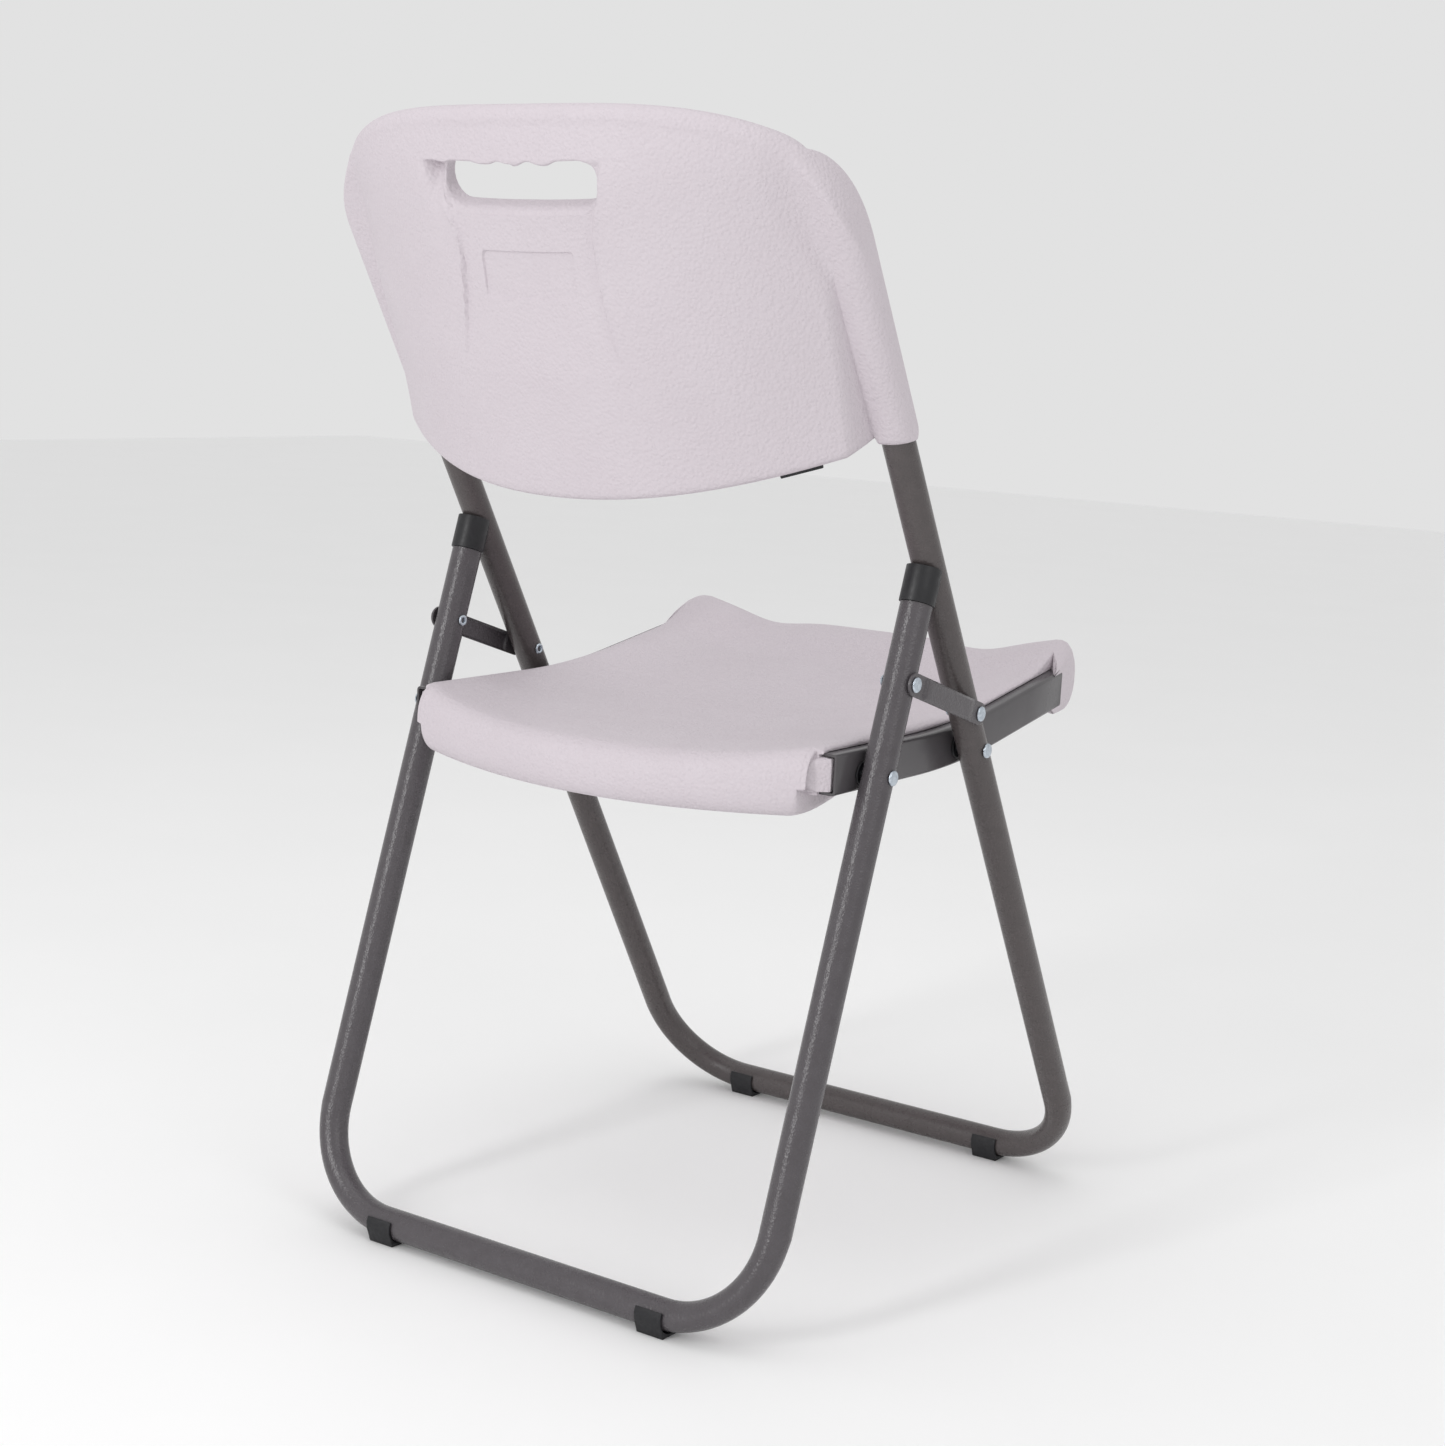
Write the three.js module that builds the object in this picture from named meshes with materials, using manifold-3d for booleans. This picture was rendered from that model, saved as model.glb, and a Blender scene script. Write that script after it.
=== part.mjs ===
// Folding chair with blow-moulded seat and back on two round-tube steel frames.
// Millimetres, +Z up. The sitter faces -Y, and the sitter's left is +X.
// The origin is on the floor, in the middle of the chair's bounding box.
import * as THREE from 'three';
import { mergeVertices } from 'three/addons/utils/BufferGeometryUtils.js';
import Module from 'manifold-3d';

const wasm = await Module();
wasm.setup();

// ---------------------------------------------------------------- driving dimensions

const GAP = 0.3; // air left between pieces that touch
const TUBE_R = 12.5; // 25 mm round steel tube
const TUBE_WALL = 1.2;
const TUBE_X = 223; // tube centre line to the chair's middle plane
const SOLE = 3; // rubber under each floor bar
const BAR_Z = TUBE_R + SOLE; // centre line of the floor bars
const FLOOR_MIDDLE_Y = -15.5; // halfway between the two floor bars
const BAR_SPREAD = 519.4; // centre to centre of the floor bars
const FRONT_LEAN = 30.41; // degrees that the front frame leans back
const REAR_LEAN = 18.0; // degrees that the rear legs lean forward
const BEND_R = 80; // centre-line radius of the frames' lower corners

const FRONT_TOP = 925; // length of the front frame above its bar, along its lean
const REAR_TOP = 563; // the same for the rear legs' steel

// Pivots, as lengths along each frame above its bar
const LINK_FRONT_AT = 516.0;
const SEAT_FRONT_AT = 478.9;
const LINK_REAR_AT = 502.4;
const SEAT_REAR_AT = 430.4;

// Rivets
const SHANK_R = 3;
const HEAD_R = 6;
const HEAD_T = 2;
const TAIL_R = 4.6;
const TAIL_T = 1.5;
const SPACER_R = 9;

// Links: pressed steel straps outside the tubes, with a raised channel between two flat tabs
const LINK_W = 18;
const LINK_T = 2;
const LINK_RAISE = 2;
const LINK_TAB = 15; // from a pivot to the channel's end

// Seat rails: C-channels, open towards the seat
const RAIL_X = 208; // outer face of the web
const RAIL_H = 31.5;
const RAIL_FLANGE = 14;
const RAIL_T = 2;
const RAIL_REAR_Y = 162; // the rail's ends, from the floor middle
const RAIL_FRONT_Y = -196;
const RAIL_Z = 427; // rail centre height in its level rear part
const RAIL_BEND_FROM = 40; // the rail starts to rise here
const RAIL_BEND_TO = -90; // and is straight again here
const RAIL_RISE = 0.178; // slope of its front part

// Seat panel
const SEAT_HALF = 203; // tongues inside the channels
const SEAT_NOSE_HALF = 207.5; // in front of the rails
const SEAT_BODY_HALF = 186; // the body below and behind the rails
const SEAT_BEAD_HALF = 197; // the rolled edge above the rails
const SEAT_FRONT_Y = -239;
const SEAT_REAR_Y = 219;
const SEAT_REAR_BOW = 38;
const SEAT_BEAD_RISE = 4.5; // the rolled side edges above the rails
const SEAT_CORNER_RISE = 14; // and the front corners above those
const SEAT_DISH = 13.5; // depth of the seat's hollow on its middle line

// Backrest. "Along" is up the front frame's lean and "depth" is behind its plane.
const BACK_HALF = 239.5;
const BACK_BOTTOM = 772;
const POCKET_BOTTOM = 765;
const BACK_SHOULDER = 874; // the sides end and the arched top starts
const BACK_ARCH = 167; // rise of the arch
const BACK_ARCH_POWER = 2.93;
const BACK_WALL = 20; // thickness of the panel
const BACK_RIM = 10; // radius of its rolled rim
const SPINE = [
  [765, 132], [875, 102], [934, 84.5], [958, 78], [996, 68], [1020, 57], [1055, 36],
]; // depth of the rear face on the middle plane
const PANEL_HALF = 209; // the panel ends here and the tube pockets begin
const DROP_HALF = 233;
const LOW_DROP = { amount: 107, power: 2.14 }; // how the panel curves forward, low down
const HIGH_DROP = { amount: 73, power: 2.5 }; // and under the arch
const POCKET_R = 16.5; // outer radius of the tube pockets
const POCKET_EDGE = 213.5;
const HAND_HOLE = { half: 71, low: 977, high: 1008, fingers: 4, pitch: 27, scallop: 3.5 };

// End caps of the rear legs
const CAP_R = 13.9;
const CAP_L = 28;

// Feet
const FOOT_X = 137.5;
const FOOT_L = 25;
const FOOT_BORE = TUBE_R + 0.75; // its outer end reaches the start of the tube's bend
const FOOT_WALL = 1.9;
const FOOT_SOLE_HALF = 10.5;

const BACK_HEIGHT = BACK_SHOULDER + BACK_ARCH - BACK_BOTTOM;

const COLOURS = {
  steel: { color: 0x5c575c, roughness: 0.45, metalness: 0.3 },
  channel: { color: 0x5a575b, roughness: 0.35, metalness: 0.3 },
  plastic: { color: 0xd8cfd6, roughness: 0.65, metalness: 0 },
  black: { color: 0x232126, roughness: 0.6, metalness: 0 },
  zinc: { color: 0xb9bec4, roughness: 0.3, metalness: 0.9 },
};

// ---------------------------------------------------------------- places

const radians = THREE.MathUtils.degToRad;
const SIN_F = Math.sin(radians(FRONT_LEAN));
const COS_F = Math.cos(radians(FRONT_LEAN));
const SIN_R = Math.sin(radians(REAR_LEAN));
const COS_R = Math.cos(radians(REAR_LEAN));
const FRONT_BAR_Y = FLOOR_MIDDLE_Y - BAR_SPREAD / 2;
const REAR_BAR_Y = FLOOR_MIDDLE_Y + BAR_SPREAD / 2;

// A point on the front frame's plane: along is up its lean, behind is towards +Y.
function frontPoint(x, along, behind = 0) {
  const y = FRONT_BAR_Y + along * SIN_F + behind * COS_F;
  return new THREE.Vector3(x, y, BAR_Z + along * COS_F - behind * SIN_F);
}

// The same for the rear frame, which leans the other way.
function rearPoint(x, along, behind = 0) {
  const y = REAR_BAR_Y - along * SIN_R + behind * COS_R;
  return new THREE.Vector3(x, y, BAR_Z + along * COS_R + behind * SIN_R);
}

// Centre height of the seat rails at a distance y from the floor middle.
function railZ(y) {
  const run = RAIL_BEND_FROM - RAIL_BEND_TO;
  if (y >= RAIL_BEND_FROM) return RAIL_Z;
  if (y >= RAIL_BEND_TO) return RAIL_Z + (RAIL_RISE * (RAIL_BEND_FROM - y) ** 2) / (2 * run);
  return RAIL_Z + RAIL_RISE * (run / 2 + RAIL_BEND_TO - y);
}

// ---------------------------------------------------------------- solids

function solid(geometry) {
  const plain = geometry.clone();
  for (const name of Object.keys(plain.attributes)) {
    if (name !== 'position') plain.deleteAttribute(name);
  }
  const merged = mergeVertices(plain, 1e-4);
  const mesh = new wasm.Mesh({
    numProp: 3,
    vertProperties: new Float32Array(merged.attributes.position.array),
    triVerts: new Uint32Array(merged.index.array),
  });
  return new wasm.Manifold(mesh);
}

function geometryOf(manifold) {
  const mesh = manifold.getMesh();
  const geometry = new THREE.BufferGeometry();
  geometry.setAttribute('position', new THREE.BufferAttribute(mesh.vertProperties, 3));
  geometry.setIndex(new THREE.BufferAttribute(mesh.triVerts, 1));
  const faceted = geometry.toNonIndexed();
  faceted.computeVertexNormals();
  return faceted;
}

// A round bar along X from x0 to x1 with its axis through (y, z).
function barX(x0, x1, radius, place, sides = 16) {
  const geometry = new THREE.CylinderGeometry(radius, radius, Math.abs(x1 - x0), sides);
  geometry.rotateZ(Math.PI / 2);
  geometry.translate((x0 + x1) / 2, place.y, place.z);
  return geometry;
}

// A flat outline in the YZ plane, extruded along X from x0 to x1.
function plateX(outline, x0, x1) {
  const shape = new THREE.Shape(outline.map(([y, z]) => new THREE.Vector2(y, z)));
  const low = Math.min(x0, x1);
  const geometry = new THREE.ExtrudeGeometry(shape, {
    depth: Math.abs(x1 - x0), bevelEnabled: false, curveSegments: 6,
  });
  // the shape's x is the part's Y and its y is Z, so the depth becomes X
  geometry.applyMatrix4(new THREE.Matrix4().makeBasis(
    new THREE.Vector3(0, 1, 0), new THREE.Vector3(0, 0, 1), new THREE.Vector3(1, 0, 0),
  ));
  geometry.translate(low, 0, 0);
  return geometry;
}

// A straight round bar between two points.
function barBetween(a, b, radius, sides = 24) {
  const axis = new THREE.Vector3().subVectors(b, a);
  const geometry = new THREE.CylinderGeometry(radius, radius, axis.length(), sides);
  geometry.applyQuaternion(new THREE.Quaternion().setFromUnitVectors(
    new THREE.Vector3(0, 1, 0), axis.clone().normalize(),
  ));
  const middle = new THREE.Vector3().addVectors(a, b).multiplyScalar(0.5);
  geometry.translate(middle.x, middle.y, middle.z);
  return geometry;
}

// ---------------------------------------------------------------- bent tubes

// Centre line of a U-shaped frame. Its stations are even steps of the parameter, so the
// straight runs take one step each and the corners take the rest.
class FrameLine extends THREE.Curve {
  constructor(place, top, cornerSteps) {
    super();
    this.stations = [];
    const corner = (sign, angle) => {
      const x = TUBE_X - BEND_R + BEND_R * Math.sin(angle);
      return place(sign * x, BEND_R - BEND_R * Math.cos(angle));
    };
    this.stations.push(place(-TUBE_X, top));
    for (let i = 0; i <= cornerSteps; i++) {
      this.stations.push(corner(-1, (Math.PI / 2) * (1 - i / cornerSteps)));
    }
    for (let i = 0; i <= cornerSteps; i++) {
      this.stations.push(corner(1, (Math.PI / 2) * (i / cornerSteps)));
    }
    this.stations.push(place(TUBE_X, top));
  }

  getUtoTmapping(u) {
    return u;
  }

  getPoint(t, target = new THREE.Vector3()) {
    const last = this.stations.length - 1;
    const at = Math.min(Math.max(t, 0), 1) * last;
    const i = Math.min(Math.floor(at), last - 1);
    return target.lerpVectors(this.stations[i], this.stations[i + 1], at - i);
  }

  getTangent(t, target = new THREE.Vector3()) {
    const last = this.stations.length - 1;
    const i = Math.round(t * last);
    const before = this.stations[Math.max(i - 1, 0)];
    const here = this.stations[i];
    const after = this.stations[Math.min(i + 1, last)];
    const inward = new THREE.Vector3().subVectors(here, before).normalize();
    const onward = new THREE.Vector3().subVectors(after, here).normalize();
    return target.addVectors(inward, onward).normalize();
  }
}

function ring(radius, sides) {
  const points = [];
  for (let i = 0; i < sides; i++) {
    const a = (2 * Math.PI * i) / sides;
    points.push(new THREE.Vector2(radius * Math.cos(a), radius * Math.sin(a)));
  }
  return points;
}

// Hollow tube along the U, with holes for the rivet shanks.
function frameTube(place, top, pins) {
  const cornerSteps = 8;
  const sides = 16;
  const line = new FrameLine(place, top, cornerSteps);
  const section = new THREE.Shape(ring(TUBE_R, sides));
  section.holes.push(new THREE.Path(ring(TUBE_R - TUBE_WALL, sides)));
  const swept = new THREE.ExtrudeGeometry(section, {
    steps: line.stations.length - 1, extrudePath: line, bevelEnabled: false,
  });
  let tube = solid(swept);
  for (const pin of pins) tube = tube.subtract(solid(pin));
  return geometryOf(tube);
}

function clearHole(side, place) {
  return barX(side * (TUBE_X - 20), side * (TUBE_X + 20), SHANK_R + GAP, place, 12);
}

// ---------------------------------------------------------------- rivets and spacers

const CROWN_OUT = TUBE_X + TUBE_R; // outermost line of a tube
const CROWN_IN = TUBE_X - TUBE_R;

// A rivet along X, head outside, lathed as one closed profile. Lengths are from the middle
// plane. A tail of null leaves a plain end.
function rivet(side, place, headAt, endAt, tailRadius) {
  const reach = headAt - endAt;
  const end = tailRadius ? -reach - TAIL_T : -reach;
  const steps = [
    [0, HEAD_T], [HEAD_R * 0.7, HEAD_T * 0.85], [HEAD_R, HEAD_T * 0.35],
    [HEAD_R, 0], [SHANK_R, 0], [SHANK_R, -reach],
  ];
  if (tailRadius) steps.push([tailRadius, -reach], [tailRadius, end]);
  steps.push([0, end]);
  const profile = steps.reverse().map(([radius, at]) => new THREE.Vector2(radius, at));
  const geometry = new THREE.LatheGeometry(profile, 12);
  geometry.rotateZ(side > 0 ? -Math.PI / 2 : Math.PI / 2);
  geometry.translate(side * headAt, place.y, place.z);
  return geometryOf(solid(geometry));
}

// The formed inner end of the link's rear rivet, which stays in the rear leg.
function rivetTail(side, place) {
  const profile = [
    new THREE.Vector2(0, 9), new THREE.Vector2(SHANK_R, 9), new THREE.Vector2(SHANK_R, 0),
    new THREE.Vector2(TAIL_R, 0), new THREE.Vector2(TAIL_R, -TAIL_T), new THREE.Vector2(0, -TAIL_T),
  ];
  const geometry = new THREE.LatheGeometry(profile.reverse(), 12);
  geometry.rotateZ(side > 0 ? -Math.PI / 2 : Math.PI / 2);
  geometry.translate(side * (CROWN_IN - GAP), place.y, place.z);
  return geometryOf(solid(geometry));
}

function spacer(side, place) {
  const inner = RAIL_X + GAP;
  const outer = CROWN_IN - GAP;
  const disc = solid(barX(side * inner, side * outer, SPACER_R, place, 20));
  const hole = solid(barX(side * (inner - 1), side * (outer + 1), SHANK_R + GAP, place, 12));
  return geometryOf(disc.subtract(hole));
}

// ---------------------------------------------------------------- links

function link(side, front, rear) {
  const along = new THREE.Vector2(rear.y - front.y, rear.z - front.z);
  const length = along.length();
  along.normalize();
  const across = new THREE.Vector2(-along.y, along.x);
  const at = (a, b) => [front.y + along.x * a + across.x * b, front.z + along.y * a + across.y * b];
  const half = LINK_W / 2;
  const outline = [];
  for (let i = 0; i <= 8; i++) {
    const a = Math.PI / 2 + (Math.PI * i) / 8;
    outline.push(at(half * Math.cos(a), half * Math.sin(a)));
  }
  for (let i = 0; i <= 8; i++) {
    const a = -Math.PI / 2 + (Math.PI * i) / 8;
    outline.push(at(length + half * Math.cos(a), half * Math.sin(a)));
  }
  const face = CROWN_OUT + GAP;
  const top = face + LINK_RAISE + LINK_T;
  const band = (inset, from) => [
    at(from, -half + inset), at(length - from, -half + inset),
    at(length - from, half - inset), at(from, half - inset),
  ];
  const wall = 1.6;
  let strap = solid(plateX(outline, side * face, side * (face + LINK_T)));
  strap = strap.add(solid(plateX(band(0, LINK_TAB), side * (face + 0.5), side * top)));
  const hollow = band(wall, LINK_TAB + wall);
  strap = strap.subtract(solid(plateX(hollow, side * (face - 2), side * (top - LINK_T))));
  for (const pivot of [front, rear]) {
    strap = strap.subtract(solid(barX(side * (face - 3), side * (face + 6), SHANK_R + GAP, pivot, 12)));
  }
  return geometryOf(strap);
}

// ---------------------------------------------------------------- seat rails

const RAIL_STATIONS = [RAIL_REAR_Y, RAIL_BEND_FROM, 8, -25, -58, RAIL_BEND_TO, RAIL_FRONT_Y];

// The band between two heights measured from the rail's centre line, as an outline in YZ.
function railBand(low, high, stretch = 0) {
  const ys = RAIL_STATIONS.slice();
  ys[0] += stretch;
  ys[ys.length - 1] -= stretch;
  const lower = ys.map((y) => [y + FLOOR_MIDDLE_Y, railZ(y) + low]);
  const upper = ys.map((y) => [y + FLOOR_MIDDLE_Y, railZ(y) + high]).reverse();
  return lower.concat(upper);
}

function seatRail(side, pivots) {
  const half = RAIL_H / 2;
  const bar = solid(plateX(railBand(-half, half), side * (RAIL_X - RAIL_FLANGE), side * RAIL_X));
  const hollow = plateX(
    railBand(-half + RAIL_T, half - RAIL_T, 5),
    side * (RAIL_X - RAIL_FLANGE - 2), side * (RAIL_X - RAIL_T),
  );
  // the lower front corner is cut back where the channel meets the seat's nose
  const tipY = RAIL_FRONT_Y + FLOOR_MIDDLE_Y;
  const tipZ = railZ(RAIL_FRONT_Y) - half;
  const corner = plateX(
    [[tipY - 1, tipZ - 3], [tipY + 9, tipZ - 3], [tipY - 1, tipZ + 7]],
    side * (RAIL_X - RAIL_FLANGE - 3), side * (RAIL_X + 1),
  );
  let rail = bar.subtract(solid(hollow)).subtract(solid(corner));
  for (const pivot of pivots) {
    rail = rail.subtract(solid(barX(side * (RAIL_X - 6), side * (RAIL_X + 1), SHANK_R + GAP, pivot, 12)));
  }
  for (const y of RAIL_SCREW_YS) rail = rail.subtract(solid(screwHole(side, y)));
  return geometryOf(rail);
}

// Screws up through the rail's lower flange into the seat's tongue
const RAIL_SCREW_YS = [70, -150];
const SCREW_X = RAIL_X - 9;
const SCREW_R = 1.8;
const SCREW_HEAD_R = 3.6;

function screwHole(side, y) {
  const z = railZ(y) - RAIL_H / 2;
  const low = new THREE.Vector3(side * SCREW_X, y + FLOOR_MIDDLE_Y, z - 4);
  const high = low.clone().setZ(z + 13);
  return barBetween(low, high, SCREW_R + GAP, 10);
}

function railScrew(side, y) {
  const profile = [
    new THREE.Vector2(0, -2), new THREE.Vector2(SCREW_HEAD_R * 0.6, -1.9),
    new THREE.Vector2(SCREW_HEAD_R, -0.6), new THREE.Vector2(SCREW_HEAD_R, 0),
    new THREE.Vector2(SCREW_R, 0), new THREE.Vector2(SCREW_R, 11), new THREE.Vector2(0, 12.5),
  ];
  const geometry = new THREE.LatheGeometry(profile, 12);
  geometry.rotateX(Math.PI / 2);
  // the flange slopes under the front screw, so its head hangs a little lower there
  const slope = y < RAIL_BEND_TO ? RAIL_RISE * SCREW_HEAD_R : 0;
  const z = railZ(y) - RAIL_H / 2 - GAP - slope;
  geometry.translate(side * SCREW_X, y + FLOOR_MIDDLE_Y, z);
  return geometryOf(solid(geometry));
}

// ---------------------------------------------------------------- closed panels from two grids

// Joins an upper and a lower grid of points, both [column][row], into one closed solid.
function gridSolid(upper, lower) {
  const columns = upper.length;
  const rows = upper[0].length;
  const positions = [];
  for (const grid of [upper, lower]) {
    for (const column of grid) for (const p of column) positions.push(p.x, p.y, p.z);
  }
  const up = (i, j) => i * rows + j;
  const down = (i, j) => columns * rows + i * rows + j;
  const index = [];
  const quad = (a, b, c, d) => index.push(a, b, c, a, c, d);
  for (let i = 0; i < columns - 1; i++) {
    for (let j = 0; j < rows - 1; j++) {
      quad(up(i, j), up(i + 1, j), up(i + 1, j + 1), up(i, j + 1));
      quad(down(i, j), down(i, j + 1), down(i + 1, j + 1), down(i + 1, j));
    }
    quad(up(i, 0), down(i, 0), down(i + 1, 0), up(i + 1, 0));
    quad(up(i, rows - 1), up(i + 1, rows - 1), down(i + 1, rows - 1), down(i, rows - 1));
  }
  for (let j = 0; j < rows - 1; j++) {
    quad(up(0, j), up(0, j + 1), down(0, j + 1), down(0, j));
    quad(up(columns - 1, j), down(columns - 1, j), down(columns - 1, j + 1), up(columns - 1, j + 1));
  }
  const geometry = new THREE.BufferGeometry();
  geometry.setAttribute('position', new THREE.Float32BufferAttribute(positions, 3));
  geometry.setIndex(index);
  return solid(geometry);
}

function smooth(low, high, value) {
  return THREE.MathUtils.smoothstep(value, low, high);
}

// Rounds a rim: 0 at the edge, 1 from a depth of reach inwards.
function roundOver(inset, reach) {
  const d = Math.min(Math.max(inset / reach, 0), 1);
  return Math.sqrt(1 - (1 - d) ** 2);
}

// ---------------------------------------------------------------- backrest

// Depth of the panel's rear face on the chair's middle plane.
function spineDepth(along) {
  const above = Math.max(SPINE.findIndex(([s]) => along <= s), 1);
  const [a, da] = SPINE[above - 1];
  const [b, db] = SPINE[above];
  return da + ((db - da) * (along - a)) / (b - a);
}

function panelDepth(x, along) {
  const out = Math.min(Math.abs(x), PANEL_HALF) / DROP_HALF;
  const low = LOW_DROP.amount * out ** LOW_DROP.power;
  const high = HIGH_DROP.amount * out ** HIGH_DROP.power;
  const up = smooth(0, 1, (along - BACK_BOTTOM) / BACK_HEIGHT);
  return spineDepth(along) - low - (high - low) * up;
}

// Front and rear face depths at a point, before the rim is rounded.
function backFaces(x, along) {
  const out = Math.abs(x);
  const bulge = Math.sqrt(Math.max(POCKET_R ** 2 - (out - TUBE_X) ** 2, 0));
  const pocket = { front: -bulge, rear: out < TUBE_X ? POCKET_R : bulge };
  if (out >= POCKET_EDGE) return pocket;
  const rear = Math.max(panelDepth(x, along), POCKET_R);
  const inner = Math.min(out, PANEL_HALF - 1);
  const slope = panelDepth(inner, along) - panelDepth(inner + 1, along);
  const front = rear - BACK_WALL * Math.hypot(1, slope);
  const step = Math.max((out - PANEL_HALF) / (POCKET_EDGE - PANEL_HALF), 0);
  return {
    front: front + (pocket.front - front) * step,
    rear: rear + (pocket.rear - rear) * step,
  };
}

// The panel's lower edge; the pockets reach a little further down the tubes.
function backBottom(x) {
  return Math.abs(x) < POCKET_EDGE ? BACK_BOTTOM : POCKET_BOTTOM;
}

function backTop(x) {
  const u = Math.min(Math.abs(x) / BACK_HALF, 1);
  return BACK_SHOULDER + BACK_ARCH * (1 - u ** BACK_ARCH_POWER) ** (1 / BACK_ARCH_POWER);
}

// Distance inside the arch, square to it.
function insideArch(x, along) {
  if (along <= BACK_SHOULDER) return BACK_RIM;
  const n = BACK_ARCH_POWER;
  const u = Math.abs(x) / BACK_HALF;
  const v = (along - BACK_SHOULDER) / BACK_ARCH;
  const steep = Math.hypot((n * u ** (n - 1)) / BACK_HALF, (n * v ** (n - 1)) / BACK_ARCH);
  return steep > 0 ? (1 - u ** n - v ** n) / steep : BACK_RIM;
}

function backrest(pins) {
  const halfColumns = [
    0, 30, 60, 90, 116, 141, 163, 183, 198, PANEL_HALF, POCKET_EDGE, 223, 231, 236, 238.7, BACK_HALF,
  ];
  const xs = halfColumns.slice(1).reverse().map((x) => -x).concat(halfColumns);
  const rises = [0, 0.008, 0.03, 0.2, 0.36, 0.52, 0.68, 0.84, 0.93, 0.972, 0.992, 1];
  const point = (x, rise, which) => {
    const top = backTop(x);
    const bottom = backBottom(x);
    const along = bottom + (top - bottom) * rise;
    const faces = backFaces(x, Math.min(along, top - BACK_RIM));
    const middle = (faces.front + faces.rear) / 2;
    const low = 0.45 + 0.55 * roundOver(along - bottom, 8);
    const high = Math.abs(x) < BACK_HALF ? 0.2 + 0.8 * roundOver(insideArch(x, along), BACK_RIM) : 1;
    return frontPoint(x, along, middle + (faces[which] - middle) * Math.min(low, high));
  };
  const grid = (which) => xs.map((x) => rises.map((rise) => point(x, rise, which)));
  // columns run along +X and rows up the lean, so the front grid's outside looks to -Y
  let panel = gridSolid(grid('front'), grid('rear'));
  panel = panel.subtract(solid(handHole()));
  for (const side of [-1, 1]) {
    const low = frontPoint(side * TUBE_X, BACK_BOTTOM - 30);
    const high = frontPoint(side * TUBE_X, FRONT_TOP + 2);
    panel = panel.subtract(solid(barBetween(low, high, TUBE_R + GAP, 20)));
  }
  for (const pin of pins) panel = panel.subtract(solid(pin));
  return geometryOf(panel);
}

// The hand hole: a slot with rounded ends and finger scallops along its upper edge.
function handHole() {
  const { half, low, high, fingers, pitch, scallop } = HAND_HOLE;
  const radius = (high - low) / 2;
  const shape = new THREE.Shape();
  shape.moveTo(-half + radius, low);
  shape.lineTo(half - radius, low);
  shape.absarc(half - radius, low + radius, radius, -Math.PI / 2, Math.PI / 2, false);
  const start = (fingers * pitch) / 2;
  shape.lineTo(start, high);
  for (let i = 0; i < fingers; i++) {
    const from = start - i * pitch;
    shape.quadraticCurveTo(from - pitch / 2, high + scallop * 2 - 3, from - pitch, high);
  }
  shape.lineTo(-half + radius, high);
  shape.absarc(-half + radius, low + radius, radius, Math.PI / 2, 1.5 * Math.PI, false);
  const geometry = new THREE.ExtrudeGeometry(shape, { depth: 140, bevelEnabled: false, curveSegments: 6 });
  const origin = frontPoint(0, 0, -10);
  const basis = new THREE.Matrix4().makeBasis(
    new THREE.Vector3(-1, 0, 0), new THREE.Vector3(0, SIN_F, COS_F), new THREE.Vector3(0, COS_F, -SIN_F),
  );
  geometry.applyMatrix4(basis.setPosition(origin));
  return geometry;
}

// Pan-head screw through the front of each tube pocket into the frame
const BACK_SCREW_AT = 800;

function backScrew(side, clearance) {
  const seat = -POCKET_R - GAP;
  if (clearance) {
    const from = frontPoint(side * TUBE_X, BACK_SCREW_AT, seat - 5);
    const to = frontPoint(side * TUBE_X, BACK_SCREW_AT, -TUBE_R + 5);
    return barBetween(from, to, SCREW_R + GAP, 10);
  }
  const profile = [
    new THREE.Vector2(0, -2.4), new THREE.Vector2(3.2, -2.1), new THREE.Vector2(4.6, -0.7),
    new THREE.Vector2(4.6, 0), new THREE.Vector2(SCREW_R, 0), new THREE.Vector2(SCREW_R, 8),
    new THREE.Vector2(0, 8),
  ];
  const geometry = new THREE.LatheGeometry(profile, 12);
  geometry.applyQuaternion(new THREE.Quaternion().setFromUnitVectors(
    new THREE.Vector3(0, 1, 0), new THREE.Vector3(0, COS_F, -SIN_F),
  ));
  const place = frontPoint(side * TUBE_X, BACK_SCREW_AT, seat);
  geometry.translate(place.x, place.y, place.z);
  return geometryOf(solid(geometry));
}

// Rubber bumper under the backrest's lower edge
const BUMPER_X = 176;

function backBumper(side) {
  const geometry = new THREE.BoxGeometry(32, 7, 3);
  const faces = backFaces(BUMPER_X, BACK_BOTTOM);
  const fall = panelDepth(BUMPER_X - 10, BACK_BOTTOM) - panelDepth(BUMPER_X + 10, BACK_BOTTOM);
  geometry.rotateZ(-side * Math.atan2(fall, 20));
  geometry.rotateX(-radians(FRONT_LEAN));
  const depth = (faces.front + faces.rear) / 2;
  const place = frontPoint(side * BUMPER_X, BACK_BOTTOM - 1.5 - GAP, depth);
  geometry.translate(place.x, place.y, place.z);
  return geometryOf(solid(geometry));
}

// ---------------------------------------------------------------- seat panel

// Height of the rolled side edges above the rails' upper flange.
function beadRise(y) {
  return SEAT_BEAD_RISE + SEAT_CORNER_RISE * (1 - smooth(-214, -158, y));
}

function seatTop(x, y) {
  const crest = railZ(y) + RAIL_H / 2 + beadRise(y);
  const a = Math.min(Math.abs(x) / 188, 1);
  const dish = SEAT_DISH * (1 - a ** 3);
  // two thigh hollows at the front, with the middle standing a little proud
  const front = 1 - smooth(-215, -90, y);
  const hollow = 7 * front * Math.exp(-(((Math.abs(x) - 112) / 38) ** 2));
  const roll = Math.max(Math.abs(x) - 188, 0) / 15;
  return crest - dish - hollow - 9 * roll * roll;
}

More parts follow.
